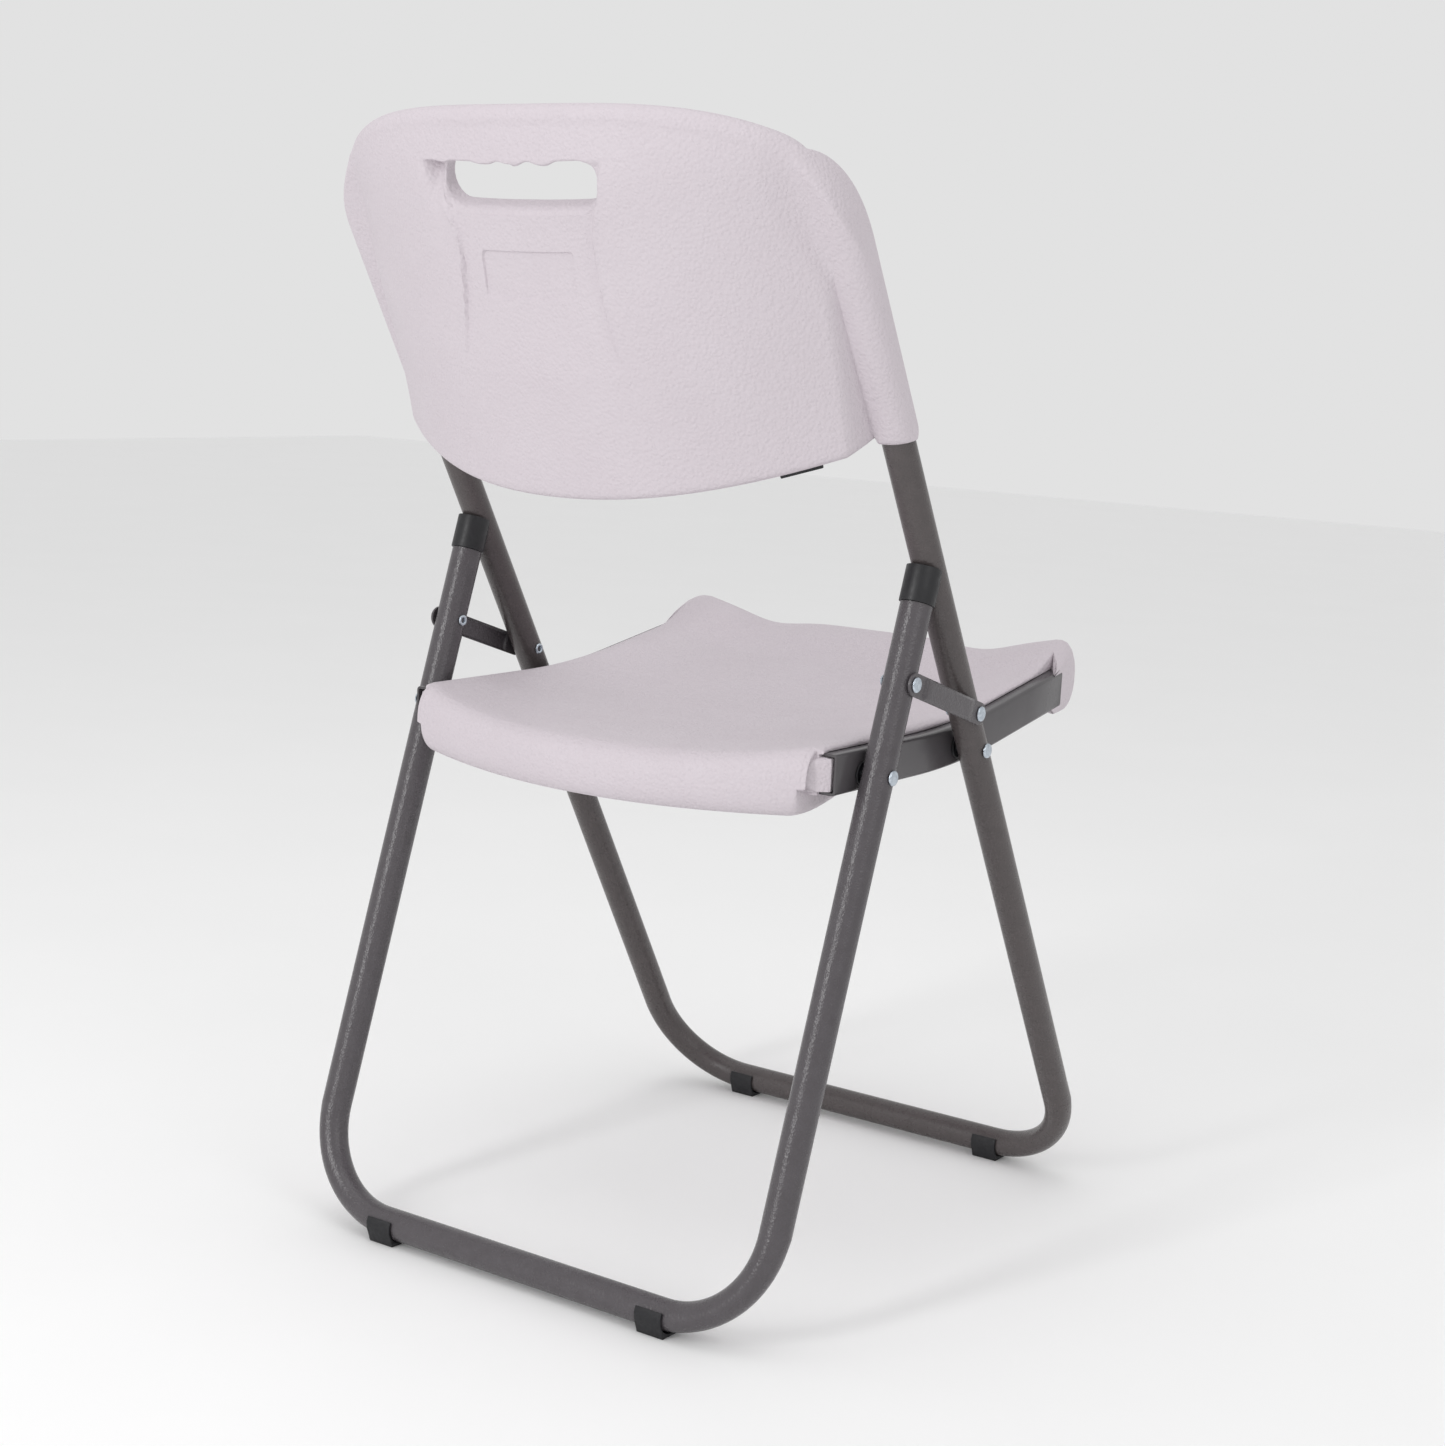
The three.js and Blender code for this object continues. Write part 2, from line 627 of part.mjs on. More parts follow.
function seatUnder(x, y) {
  const rail = railZ(y) - RAIL_H / 2 - 2;
  const u = Math.min(Math.abs(x) / SEAT_BODY_HALF, 1);
  const skirt = (15 + 5 * (1 - u * u)) * smooth(70, 165, y);
  const nose = 7 * (1 - smooth(-225, -120, y));
  return rail - skirt - nose;
}

function seatRearY(x) {
  const u = Math.abs(x) / SEAT_BODY_HALF;
  return SEAT_REAR_Y - SEAT_REAR_BOW * u * u;
}

function seatFrontY(x, half) {
  const corner = 30;
  const over = Math.max(Math.abs(x) - (half - corner), 0);
  return SEAT_FRONT_Y + corner - Math.sqrt(corner * corner - over * over);
}

// What is cut away beside the seat's body so that its tongue runs inside the rail.
function seatSideCuts(side) {
  const flangeTop = RAIL_H / 2;
  const inTop = flangeTop - RAIL_T;
  const past = side * (SEAT_NOSE_HALF + 6);
  const lip = side * (RAIL_X - RAIL_FLANGE - GAP);
  const body = side * SEAT_BODY_HALF;
  const high = 520;
  const low = 350;
  // behind the rail only the tongue reaches past the body
  const rear = RAIL_REAR_Y + GAP + FLOOR_MIDDLE_Y;
  const behind = (z0, z1, x0) => {
    const outline = [[rear, z0], [rear + 60, z0], [rear + 60, z1], [rear, z1]];
    return plateX(outline, x0, past);
  };
  return [
    plateX(railBand(inTop - GAP, 60, GAP), side * SEAT_BEAD_HALF, past), // above the rail
    plateX(railBand(inTop - GAP, flangeTop + GAP, GAP), lip, past), // the upper flange's slot
    plateX(railBand(-30, 30, GAP), side * SEAT_HALF, past), // beside the web
    plateX(railBand(-60, 1 - inTop, GAP), lip, past), // the lower flange
    plateX(railBand(-60, 1 - inTop, GAP), body, past), // under the rail
    behind(RAIL_Z + inTop - 1, high, side * (SEAT_BODY_HALF + 6)),
    behind(low, RAIL_Z + 1 - inTop, body),
    behind(low, high, side * SEAT_HALF),
  ];
}

function seatPanel(pins) {
  const fractions = [0, 0.15, 0.3, 0.44, 0.57, 0.69, 0.79, 0.86, 0.91, 0.95, 0.98, 1];
  const half = SEAT_NOSE_HALF;
  const xs = fractions.slice(1).reverse().map((f) => -f * half).concat(fractions.map((f) => f * half));
  const runs = [0, 0.008, 0.025, 0.055, 0.12, 0.22, 0.34, 0.48, 0.62, 0.76, 0.88, 0.955, 0.985, 1];
  const rim = 22;
  const point = (x, run, upper) => {
    const front = seatFrontY(x, half);
    const rear = seatRearY(x);
    const y = front + (rear - front) * run;
    const top = seatTop(x, y);
    const under = seatUnder(x, y);
    const middle = (top + under) / 2;
    const inset = Math.min(y - front, rear - y);
    const round = 0.35 + 0.65 * roundOver(inset, rim);
    const edge = upper ? top : under;
    return new THREE.Vector3(x, y + FLOOR_MIDDLE_Y, middle + (edge - middle) * round);
  };
  const upper = xs.map((x) => runs.map((run) => point(x, run, true)));
  const lower = xs.map((x) => runs.map((run) => point(x, run, false)));
  let panel = gridSolid(upper, lower);
  for (const side of [-1, 1]) {
    for (const cut of seatSideCuts(side)) panel = panel.subtract(solid(cut));
  }
  for (const pin of pins) panel = panel.subtract(solid(pin));
  return geometryOf(panel);
}

// ---------------------------------------------------------------- caps and feet

// Plastic end cap on a rear leg. It straddles the front tube, so that tube's shape is cut out.
function rearCap(side) {
  const x = side * TUBE_X;
  const base = REAR_TOP + GAP;
  const cap = solid(barBetween(rearPoint(x, base), rearPoint(x, base + CAP_L), CAP_R, 24));
  const plugR = TUBE_R - TUBE_WALL - GAP;
  const plug = solid(barBetween(rearPoint(x, base - 20), rearPoint(x, base + 2), plugR, 20));
  const notch = solid(barBetween(frontPoint(x, 560), frontPoint(x, 760), TUBE_R + 0.5, 24));
  return geometryOf(cap.subtract(notch).add(plug));
}

// Clip-on foot: a U around the floor bar with a flat sole, its higher arm at the rear.
function foot(barY, x) {
  const outer = FOOT_BORE + FOOT_WALL;
  const arm = (angle) => [
    barY + outer * Math.cos(radians(angle)), BAR_Z + outer * Math.sin(radians(angle)),
  ];
  const outline = [[barY - FOOT_SOLE_HALF, 0], [barY + FOOT_SOLE_HALF, 0]];
  for (const angle of [-30, -12, 8, 28, 50]) outline.push(arm(angle));
  for (const angle of [128, 150, 172, 192, 210]) outline.push(arm(angle));
  const body = solid(plateX(outline, x - FOOT_L / 2, x + FOOT_L / 2));
  const place = new THREE.Vector3(0, barY, BAR_Z);
  const bore = solid(barX(x - FOOT_L, x + FOOT_L, FOOT_BORE, place, 24));
  // the clip's mouth, lower at the front
  const mouth = plateX([
    [barY - 40, BAR_Z + 3], [barY, BAR_Z], [barY + 40, BAR_Z + 21],
    [barY + 40, BAR_Z + 60], [barY - 40, BAR_Z + 60],
  ], x - FOOT_L, x + FOOT_L);
  return geometryOf(body.subtract(bore).subtract(solid(mouth)));
}

// ---------------------------------------------------------------- the chair

const chair = new THREE.Group();

function add(name, geometry, finish) {
  const mesh = new THREE.Mesh(geometry, new THREE.MeshStandardMaterial(COLOURS[finish]));
  mesh.name = name;
  chair.add(mesh);
}

const SIDES = [['left', 1], ['right', -1]];
const pivot = {
  linkFront: frontPoint(0, LINK_FRONT_AT),
  linkRear: rearPoint(0, LINK_REAR_AT),
  seatFront: frontPoint(0, SEAT_FRONT_AT),
  seatRear: rearPoint(0, SEAT_REAR_AT),
};

const backHoles = SIDES.map(([, side]) => backScrew(side, true));
const frontPins = SIDES.flatMap(([, side]) => [
  clearHole(side, pivot.linkFront), clearHole(side, pivot.seatFront),
]);
const rearPins = SIDES.flatMap(([, side]) => [
  clearHole(side, pivot.linkRear), clearHole(side, pivot.seatRear),
]);
const seatHoles = SIDES.flatMap(([, side]) => RAIL_SCREW_YS.map((y) => screwHole(side, y)));
add('front_frame', frameTube(frontPoint, FRONT_TOP, frontPins.concat(backHoles)), 'steel');
add('rear_frame', frameTube(rearPoint, REAR_TOP, rearPins), 'steel');
add('backrest', backrest(backHoles), 'plastic');
add('seat_panel', seatPanel(seatHoles), 'plastic');

for (const [name, side] of SIDES) {
  add(`seat_rail_${name}`, seatRail(side, [pivot.seatFront, pivot.seatRear]), 'channel');
  RAIL_SCREW_YS.forEach((y, i) => add(`seat_screw_${i + 1}_${name}`, railScrew(side, y), 'zinc'));
  add(`link_${name}`, link(side, pivot.linkFront, pivot.linkRear), 'steel');
  const overLink = CROWN_OUT + 2 * GAP + LINK_T;
  add(`link_front_rivet_${name}`, rivet(side, pivot.linkFront, overLink, CROWN_IN - GAP, TAIL_R), 'zinc');
  add(`link_rear_rivet_${name}`, rivet(side, pivot.linkRear, overLink, CROWN_OUT + GAP, null), 'zinc');
  add(`link_rear_rivet_tail_${name}`, rivetTail(side, pivot.linkRear), 'zinc');
  const overTube = CROWN_OUT + GAP;
  const inChannel = RAIL_X - RAIL_T - GAP;
  add(`seat_front_rivet_${name}`, rivet(side, pivot.seatFront, overTube, inChannel, TAIL_R), 'zinc');
  add(`seat_rear_rivet_${name}`, rivet(side, pivot.seatRear, overTube, inChannel, TAIL_R), 'zinc');
  add(`seat_front_spacer_${name}`, spacer(side, pivot.seatFront), 'black');
  add(`seat_rear_spacer_${name}`, spacer(side, pivot.seatRear), 'black');
  add(`rear_cap_${name}`, rearCap(side), 'black');
  add(`front_foot_${name}`, foot(FRONT_BAR_Y, side * FOOT_X), 'black');
  add(`rear_foot_${name}`, foot(REAR_BAR_Y, side * FOOT_X), 'black');
  add(`back_screw_${name}`, backScrew(side, false), 'zinc');
  add(`back_bumper_${name}`, backBumper(side), 'black');
}

export default chair;
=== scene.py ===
"""Looks of a folding chair: moulded seat and back on two round-tube steel frames.

Everything is built in metres in the CAD frame: +Z is up, the sitter faces -Y and the sitter's
left is +X. Sizes are stated in millimetres, as on the CAD part, and scaled when a mesh is made.
"""

import logging
import math
from collections.abc import Callable, Sequence
from dataclasses import dataclass, field
from enum import Enum

import bmesh
import bpy
import numpy as np
from mathutils import Matrix, Vector


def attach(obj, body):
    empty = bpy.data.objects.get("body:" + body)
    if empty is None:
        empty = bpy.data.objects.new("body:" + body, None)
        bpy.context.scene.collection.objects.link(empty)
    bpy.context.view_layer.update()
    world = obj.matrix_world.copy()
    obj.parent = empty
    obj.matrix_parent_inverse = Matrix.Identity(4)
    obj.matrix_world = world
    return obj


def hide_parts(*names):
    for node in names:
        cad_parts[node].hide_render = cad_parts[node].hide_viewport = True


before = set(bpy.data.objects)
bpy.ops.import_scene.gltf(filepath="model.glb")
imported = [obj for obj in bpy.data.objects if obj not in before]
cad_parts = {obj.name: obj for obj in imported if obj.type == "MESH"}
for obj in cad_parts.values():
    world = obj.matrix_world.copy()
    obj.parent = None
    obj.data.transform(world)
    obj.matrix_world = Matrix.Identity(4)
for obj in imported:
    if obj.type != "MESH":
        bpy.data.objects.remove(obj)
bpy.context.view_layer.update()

MM = 0.001
WELD = 0.02 * MM
CAD_WELD = 0.01 * MM
SLIVER = 0.005 * MM
LOG = logging.getLogger("folding_chair")

Point = tuple[float, float, float]
Colour = tuple[float, float, float]
Ring = list[Point]
Knots = Sequence[tuple[float, float]]
Socket = bpy.types.NodeSocket


# ---------------------------------------------------------------- small helpers


def smoothstep(low: float, high: float, value: float) -> float:
    """Ease from 0 at low to 1 at high.

    Args:
        low: where the ease starts.
        high: where the ease ends.
        value: the place to read.

    Returns:
        The eased share, from 0 to 1.
    """
    t = min(max((value - low) / (high - low), 0.0), 1.0)
    return t * t * (3.0 - 2.0 * t)


def interpolate(knots: Knots, at: float) -> float:
    """Read a smooth curve through knots, held flat past its ends.

    Args:
        knots: (position, value) pairs in rising order.
        at: the position to read.

    Returns:
        The value there, by a cubic through the knots so the curve has no corners.
    """
    xs = np.array([k[0] for k in knots], float)
    ys = np.array([k[1] for k in knots], float)
    if at <= xs[0]:
        return float(ys[0])
    if at >= xs[-1]:
        return float(ys[-1])
    slopes = np.diff(ys) / np.diff(xs)
    tangents = np.concatenate([[slopes[0]], (slopes[:-1] + slopes[1:]) / 2, [slopes[-1]]])
    i = int(np.searchsorted(xs, at) - 1)
    h = xs[i + 1] - xs[i]
    t = (at - xs[i]) / h
    return float(
        (2 * t**3 - 3 * t**2 + 1) * ys[i]
        + (t**3 - 2 * t**2 + t) * h * tangents[i]
        + (3 * t**2 - 2 * t**3) * ys[i + 1]
        + (t**3 - t**2) * h * tangents[i + 1]
    )


def rounded(inset: float, reach: float, power: float = 2.0) -> float:
    """Share of full thickness at a distance inside a rolled edge.

    Args:
        inset: distance inside the edge.
        reach: distance over which the edge rolls.
        power: 2 is a quarter circle and more is blunter.

    Returns:
        0 at the edge and 1 from reach inwards.
    """
    d = min(max(inset / reach, 0.0), 1.0)
    return (1.0 - (1.0 - d) ** power) ** (1.0 / power)


def linked(name: str, data: bpy.types.ID) -> bpy.types.Object:
    """Make an object of a mesh, light or camera and link it to the scene.

    Args:
        name: the object's name.
        data: what the object holds.

    Returns:
        The linked object.
    """
    obj = bpy.data.objects.new(name, data)
    bpy.context.scene.collection.objects.link(obj)
    return obj


# ---------------------------------------------------------------- mesh making


class MeshShop:
    """Makes plain, closed, smooth-shaded meshes from points in millimetres."""

    @staticmethod
    def piece(
        name: str, points: list[Point], faces: list[list[int]], crease: float = 40.0
    ) -> bpy.types.Object:
        """Make an object from points and faces.

        Args:
            name: the piece's name.
            points: vertices in millimetres in the CAD frame.
            faces: vertex indices of each face.
            crease: edges sharper than this many degrees stay sharp.

        Returns:
            The linked object, welded and with its faces outwards.
        """
        mesh = bpy.data.meshes.new(name)
        mesh.from_pydata([tuple(c * MM for c in p) for p in points], [], faces)
        MeshShop.tidy(mesh, crease)
        return linked(name, mesh)

    @staticmethod
    def tidy(mesh: bpy.types.Mesh, crease: float) -> None:
        """Weld a mesh, turn its faces outwards and shade it smooth.

        Args:
            mesh: the mesh, changed in place.
            crease: edges sharper than this many degrees stay sharp.
        """
        bm = bmesh.new()
        bm.from_mesh(mesh)
        bmesh.ops.remove_doubles(bm, verts=bm.verts, dist=WELD)
        bmesh.ops.dissolve_degenerate(bm, edges=bm.edges, dist=SLIVER)
        bmesh.ops.recalc_face_normals(bm, faces=bm.faces)
        bm.to_mesh(mesh)
        bm.free()
        MeshShop.shaded(mesh, crease)

    @staticmethod
    def shaded(mesh: bpy.types.Mesh, crease: float) -> None:
        """Shade a mesh smooth except at edges sharper than crease degrees."""
        mesh.shade_smooth()
        mesh.set_sharp_from_angle(angle=math.radians(crease))

    @staticmethod
    def loft(
        name: str, rings: list[Ring], capped: bool = True, crease: float = 40.0
    ) -> bpy.types.Object:
        """Skin closed rings of equal length into one closed piece.

        Args:
            name: the piece's name.
            rings: closed outlines in order along the piece.
            capped: whether the two end rings are filled. Rings that fold flat need no cap.
            crease: edges sharper than this many degrees stay sharp.

        Returns:
            The lofted object.
        """
        count = len(rings[0])
        points = [p for ring in rings for p in ring]
        faces = []
        for r in range(len(rings) - 1):
            for i in range(count):
                j = (i + 1) % count
                near, far = r * count, (r + 1) * count
                faces.append([near + i, near + j, far + j, far + i])
        if capped:
            faces.append(list(range(count)))
            faces.append([(len(rings) - 1) * count + i for i in range(count)])
        return MeshShop.piece(name, points, faces, crease)

    @staticmethod
    def lathe(
        name: str, profile: list[tuple[float, float]], segments: int = 32
    ) -> bpy.types.Object:
        """Turn a profile about Z.

        Args:
            name: the piece's name.
            profile: (radius, height) pairs that start and end on the axis.
            segments: steps round the axis.

        Returns:
            The turned object.
        """
        rings = []
        for radius, height in profile:
            turn = [2 * math.pi * i / segments for i in range(segments)]
            rings.append([(radius * math.cos(a), radius * math.sin(a), height) for a in turn])
        return MeshShop.loft(name, rings, capped=False, crease=30.0)

    @staticmethod
    def baked(obj: bpy.types.Object, name: str) -> bpy.types.Object:
        """Replace an object by a plain mesh of what its modifiers make.

        Args:
            obj: the object with live modifiers. It is removed.
            name: the new piece's name.

        Returns:
            The plain object.
        """
        graph = bpy.context.evaluated_depsgraph_get()
        mesh = bpy.data.meshes.new_from_object(obj.evaluated_get(graph))
        bpy.data.objects.remove(obj)
        mesh.name = name
        return linked(name, mesh)

    @staticmethod
    def refined(node: str, name: str, bevel: float, crease: float = 35.0) -> bpy.types.Object:
        """Copy a CAD node, weld it, round its sharp edges and shade it smooth.

        Args:
            node: the CAD node to copy.
            name: the new piece's name.
            bevel: width of the rounded edges in millimetres.
            crease: edges sharper than this many degrees are rounded.

        Returns:
            The rounded copy.
        """
        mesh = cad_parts[node].data.copy()
        mesh.materials.clear()
        bm = bmesh.new()
        bm.from_mesh(mesh)
        bmesh.ops.remove_doubles(bm, verts=bm.verts, dist=CAD_WELD)
        flat = math.radians(1.0)
        bmesh.ops.dissolve_limit(bm, angle_limit=flat, verts=bm.verts, edges=bm.edges)
        bm.to_mesh(mesh)
        bm.free()
        obj = linked(name + "_source", mesh)
        soften = obj.modifiers.new("soften", "BEVEL")
        soften.width = bevel * MM
        soften.segments = 3
        soften.limit_method = "ANGLE"
        soften.angle_limit = math.radians(crease)
        soften.use_clamp_overlap = True
        made = MeshShop.baked(obj, name)
        MeshShop.shaded(made.data, crease)
        return made


# ---------------------------------------------------------------- node trees


class NodeTree:
    """Short way to write shader and geometry node trees."""

    def __init__(self, tree: bpy.types.NodeTree) -> None:
        """Keep the tree that the nodes go into."""
        self.tree = tree

    def add(
        self, kind: str, inputs: dict[str, object] | None = None, **settings: object
    ) -> bpy.types.Node:
        """Add a node.

        Args:
            kind: the node's bl_idname.
            inputs: socket name to a value, or to the output socket that feeds it.
            settings: properties of the node itself.

        Returns:
            The new node.
        """
        node = self.tree.nodes.new(kind)
        for key, value in settings.items():
            setattr(node, key, value)
        for key, value in (inputs or {}).items():
            self.feed(node.inputs[key], value)
        return node

    def feed(self, socket: Socket, value: object) -> None:
        """Link or set one input socket.

        Args:
            socket: the input to feed.
            value: an output socket to link, or a value to set.
        """
        if isinstance(value, Socket):
            self.tree.links.new(value, socket)
        else:
            socket.default_value = value

    def math(self, operation: str, a: object, b: object = 0.0) -> Socket:
        """Add a Math node.

        Args:
            operation: what the node does.
            a: its first value or socket.
            b: its second value or socket.

        Returns:
            The node's result.
        """
        node = self.add("ShaderNodeMath", operation=operation)
        self.feed(node.inputs[0], a)
        self.feed(node.inputs[1], b)
        return node.outputs[0]

    def vector(
        self, operation: str, a: object, b: object, output: str = "Vector"
    ) -> Socket:
        """Add a Vector Math node.

        Args:
            operation: what the node does.
            a: its first vector or socket.
            b: its second vector or socket, or the factor of a scale.
            output: the name of the result to read.

        Returns:
            The named result.
        """
        node = self.add("ShaderNodeVectorMath", operation=operation)
        self.feed(node.inputs[0], a)
        self.feed(node.inputs["Scale" if operation == "SCALE" else 1], b)
        return node.outputs[output]


# ---------------------------------------------------------------- finishes


@dataclass(frozen=True)
class Finish:
    """What every surface of the chair shares: a colour, a gloss and a fine relief.

    Attributes:
        name: the material's name.
        colour: the lighter colour of the mottle.
        mottle: the darker colour of the mottle.
        roughness: mean roughness.
        spread: how far the roughness strays from its mean.
        grain: size of the fine relief in millimetres.
        relief: depth of the fine relief in millimetres.
        mottle_size: size of the mottle in millimetres.
        metallic: 1 for bare metal and 0 for the rest.
    """

    name: str
    colour: Colour
    mottle: Colour
    roughness: float
    spread: float
    grain: float
    relief: float
    mottle_size: float
    metallic: float = 0.0

    def material(self) -> bpy.types.Material:
        """Make this finish's material, or find it when it is there already.

        Returns:
            The material.
        """
        found = bpy.data.materials.get(self.name)
        if found:
            return found
        made = bpy.data.materials.new(self.name)
        made.use_nodes = True
        nodes = NodeTree(made.node_tree)
        made.node_tree.nodes.clear()
        self.dress(nodes)
        return made

    def dress(self, nodes: NodeTree) -> None:
        """Write the shader's nodes.

        Args:
            nodes: the empty tree.
        """
        place = nodes.add("ShaderNodeTexCoord").outputs["Object"]
        shader = nodes.add(
            "ShaderNodeBsdfPrincipled",
            {
                "Base Color": self.tint(nodes, place),
                "Roughness": self.gloss(nodes, place),
                "Metallic": self.metallic,
                "Normal": self.surface(nodes, place),
            },
        )
        nodes.add("ShaderNodeOutputMaterial", {"Surface": shader.outputs[0]})

    def noise(
        self, nodes: NodeTree, place: Socket, size: float, detail: float
    ) -> Socket:
        """Add noise.

        Args:
            nodes: the shader's tree.
            place: the object coordinates.
            size: width of its features in millimetres.
            detail: octaves of finer noise.

        Returns:
            The noise, from 0 to 1.
        """
        made = nodes.add(
            "ShaderNodeTexNoise",
            {"Vector": place, "Scale": 1000.0 / size, "Detail": detail, "Roughness": 0.55},
        )
        return made.outputs["Fac"]

    def tint(self, nodes: NodeTree, place: Socket) -> Socket:
        """Write a colour with a soft, wide mottle.

        Args:
            nodes: the shader's tree.
            place: the object coordinates.

        Returns:
            The colour.
        """
        value = self.noise(nodes, place, self.mottle_size, 4.0)
        ramp = nodes.add("ShaderNodeValToRGB", {"Fac": value})
        ramp.color_ramp.elements[0].position = 0.32
        ramp.color_ramp.elements[0].color = (*self.mottle, 1.0)
        ramp.color_ramp.elements[1].position = 0.68
        ramp.color_ramp.elements[1].color = (*self.colour, 1.0)
        return ramp.outputs["Color"]

    def gloss(self, nodes: NodeTree, place: Socket) -> Socket:
        """Write a roughness that varies a little across the surface.

        Args:
            nodes: the shader's tree.
            place: the object coordinates.

        Returns:
            The roughness.
        """
        value = self.noise(nodes, place, self.mottle_size * 0.6, 2.0)
        ranged = nodes.add(
            "ShaderNodeMapRange",
            {
                "Value": value,
                "From Min": 0.3,
                "From Max": 0.7,
                "To Min": self.roughness - self.spread,
                "To Max": self.roughness + self.spread,
            },
        )
        return ranged.outputs["Result"]

    def surface(self, nodes: NodeTree, place: Socket) -> Socket:
        """Write the fine relief of the surface.

        Args:
            nodes: the shader's tree.
            place: the object coordinates.

        Returns:
            The normal.
        """
        return self.bump(nodes, self.noise(nodes, place, self.grain, 2.0))

    def bump(self, nodes: NodeTree, height: Socket) -> Socket:
        """Turn a height into a normal.

        Args:
            nodes: the shader's tree.
            height: the relief, where 1 is as deep as this finish's relief.

        Returns:
            The normal.
        """
        made = nodes.add(
            "ShaderNodeBump", {"Height": height, "Strength": 1.0, "Distance": self.relief * MM}
        )
        return made.outputs["Normal"]


@dataclass(frozen=True)
class HammeredPaint(Finish):
    """Hammertone powder coat: shallow dimples that break its highlights into specks.

    Attributes:
        dimple: width of a dimple in millimetres.
    """

    dimple: float = 1.7

    def surface(self, nodes: NodeTree, place: Socket) -> Socket:
        """Write round dimples over a finer orange peel.

        Args:
            nodes: the shader's tree.
            place: the object coordinates.

        Returns:
            The normal.
        """
        dimples = nodes.add(
            "ShaderNodeTexVoronoi",
            {"Vector": place, "Scale": 1000.0 / self.dimple, "Smoothness": 0.6, "Randomness": 1.0},
            feature="SMOOTH_F1",
        )
        peel = self.noise(nodes, place, self.grain, 2.0)
        height = nodes.math("ADD", dimples.outputs["Distance"], nodes.math("MULTIPLY", peel, 0.5))
        return self.bump(nodes, height)


@dataclass(frozen=True)
class PebbledPlastic(Finish):
    """Moulded plastic with a leathery pebble grain over slow waves.

    Attributes:
        pebble: width of a pebble in millimetres.
        wave: length of the wall's slow waves in millimetres.
    """

    pebble: float = 2.6
    wave: float = 60.0

    def surface(self, nodes: NodeTree, place: Socket) -> Socket:
        """Write pebbles with soft valleys, over slow waves of the moulded wall.

        Args:
            nodes: the shader's tree.
            place: the object coordinates.

        Returns:
            The normal.
        """
        warp = nodes.add(
            "ShaderNodeTexNoise", {"Vector": place, "Scale": 260.0, "Detail": 1.0}
        ).outputs["Color"]
        shifted = nodes.vector("ADD", place, nodes.vector("SCALE", warp, 0.0016))
        cells = nodes.add(
            "ShaderNodeTexVoronoi",
            {"Vector": shifted, "Scale": 1000.0 / self.pebble, "Smoothness": 0.45},
            feature="SMOOTH_F1",
        )
        fine = self.noise(nodes, place, self.grain, 2.0)
        wave = self.noise(nodes, place, self.wave, 1.0)
        fine = nodes.math("MULTIPLY", fine, 0.4)
        height = nodes.math("SUBTRACT", fine, cells.outputs["Distance"])
        pebbles = self.bump(nodes, height)
        whole = nodes.add(
            "ShaderNodeBump",
            {"Height": wave, "Strength": 0.5, "Distance": 1.2 * MM, "Normal": pebbles},
        )
        return whole.outputs["Normal"]


FRAME_PAINT = HammeredPaint(
    "frame_hammertone",
    colour=(0.082, 0.074, 0.081),
    mottle=(0.072, 0.064, 0.070),
    roughness=0.25,
    spread=0.04,
    grain=0.9,
    relief=0.22,
    mottle_size=9.0,
)
FRONT_PAINT = HammeredPaint(
    "front_frame_hammertone",
    colour=(0.080, 0.068, 0.068),
    mottle=(0.070, 0.060, 0.060),
    roughness=0.29,
    spread=0.04,
    grain=0.9,
    relief=0.17,
    mottle_size=9.0,
)
RAIL_PAINT = Finish(
    "rail_grey_paint",
    colour=(0.074, 0.068, 0.073),
    mottle=(0.066, 0.061, 0.066),
    roughness=0.24,
    spread=0.03,
    grain=3.0,
    relief=0.035,
    mottle_size=22.0,
)
PLASTIC = PebbledPlastic(
    "moulded_off_white",
    colour=(0.600, 0.545, 0.584),
    mottle=(0.588, 0.532, 0.571),
    roughness=0.56,
    spread=0.05,
    grain=1.2,
    relief=0.62,
    mottle_size=60.0,
)
BLACK_PLASTIC = Finish(
    "black_cap_plastic",
    colour=(0.010, 0.010, 0.012),
    mottle=(0.006, 0.006, 0.008),
    roughness=0.45,
    spread=0.07,
    grain=1.1,
    relief=0.05,
    mottle_size=7.0,
)
RUBBER = Finish(
    "black_foot_rubber",
    colour=(0.010, 0.010, 0.012),
    mottle=(0.006, 0.006, 0.008),
    roughness=0.6,
    spread=0.08,
    grain=0.7,
    relief=0.09,
    mottle_size=5.0,
)
ZINC = Finish(
    "bright_zinc",
    colour=(0.62, 0.68, 0.74),
    mottle=(0.44, 0.49, 0.55),
    roughness=0.28,
    spread=0.07,
    grain=0.6,
    relief=0.03,
    mottle_size=3.0,
    metallic=1.0,
)


# ---------------------------------------------------------------- the chair's plan


class Side(Enum):
    """The sitter's left and right."""

    LEFT = 1
    RIGHT = -1

    @property
    def word(self) -> str:
        """The side as it stands in a node's name."""
        return self.name.lower()


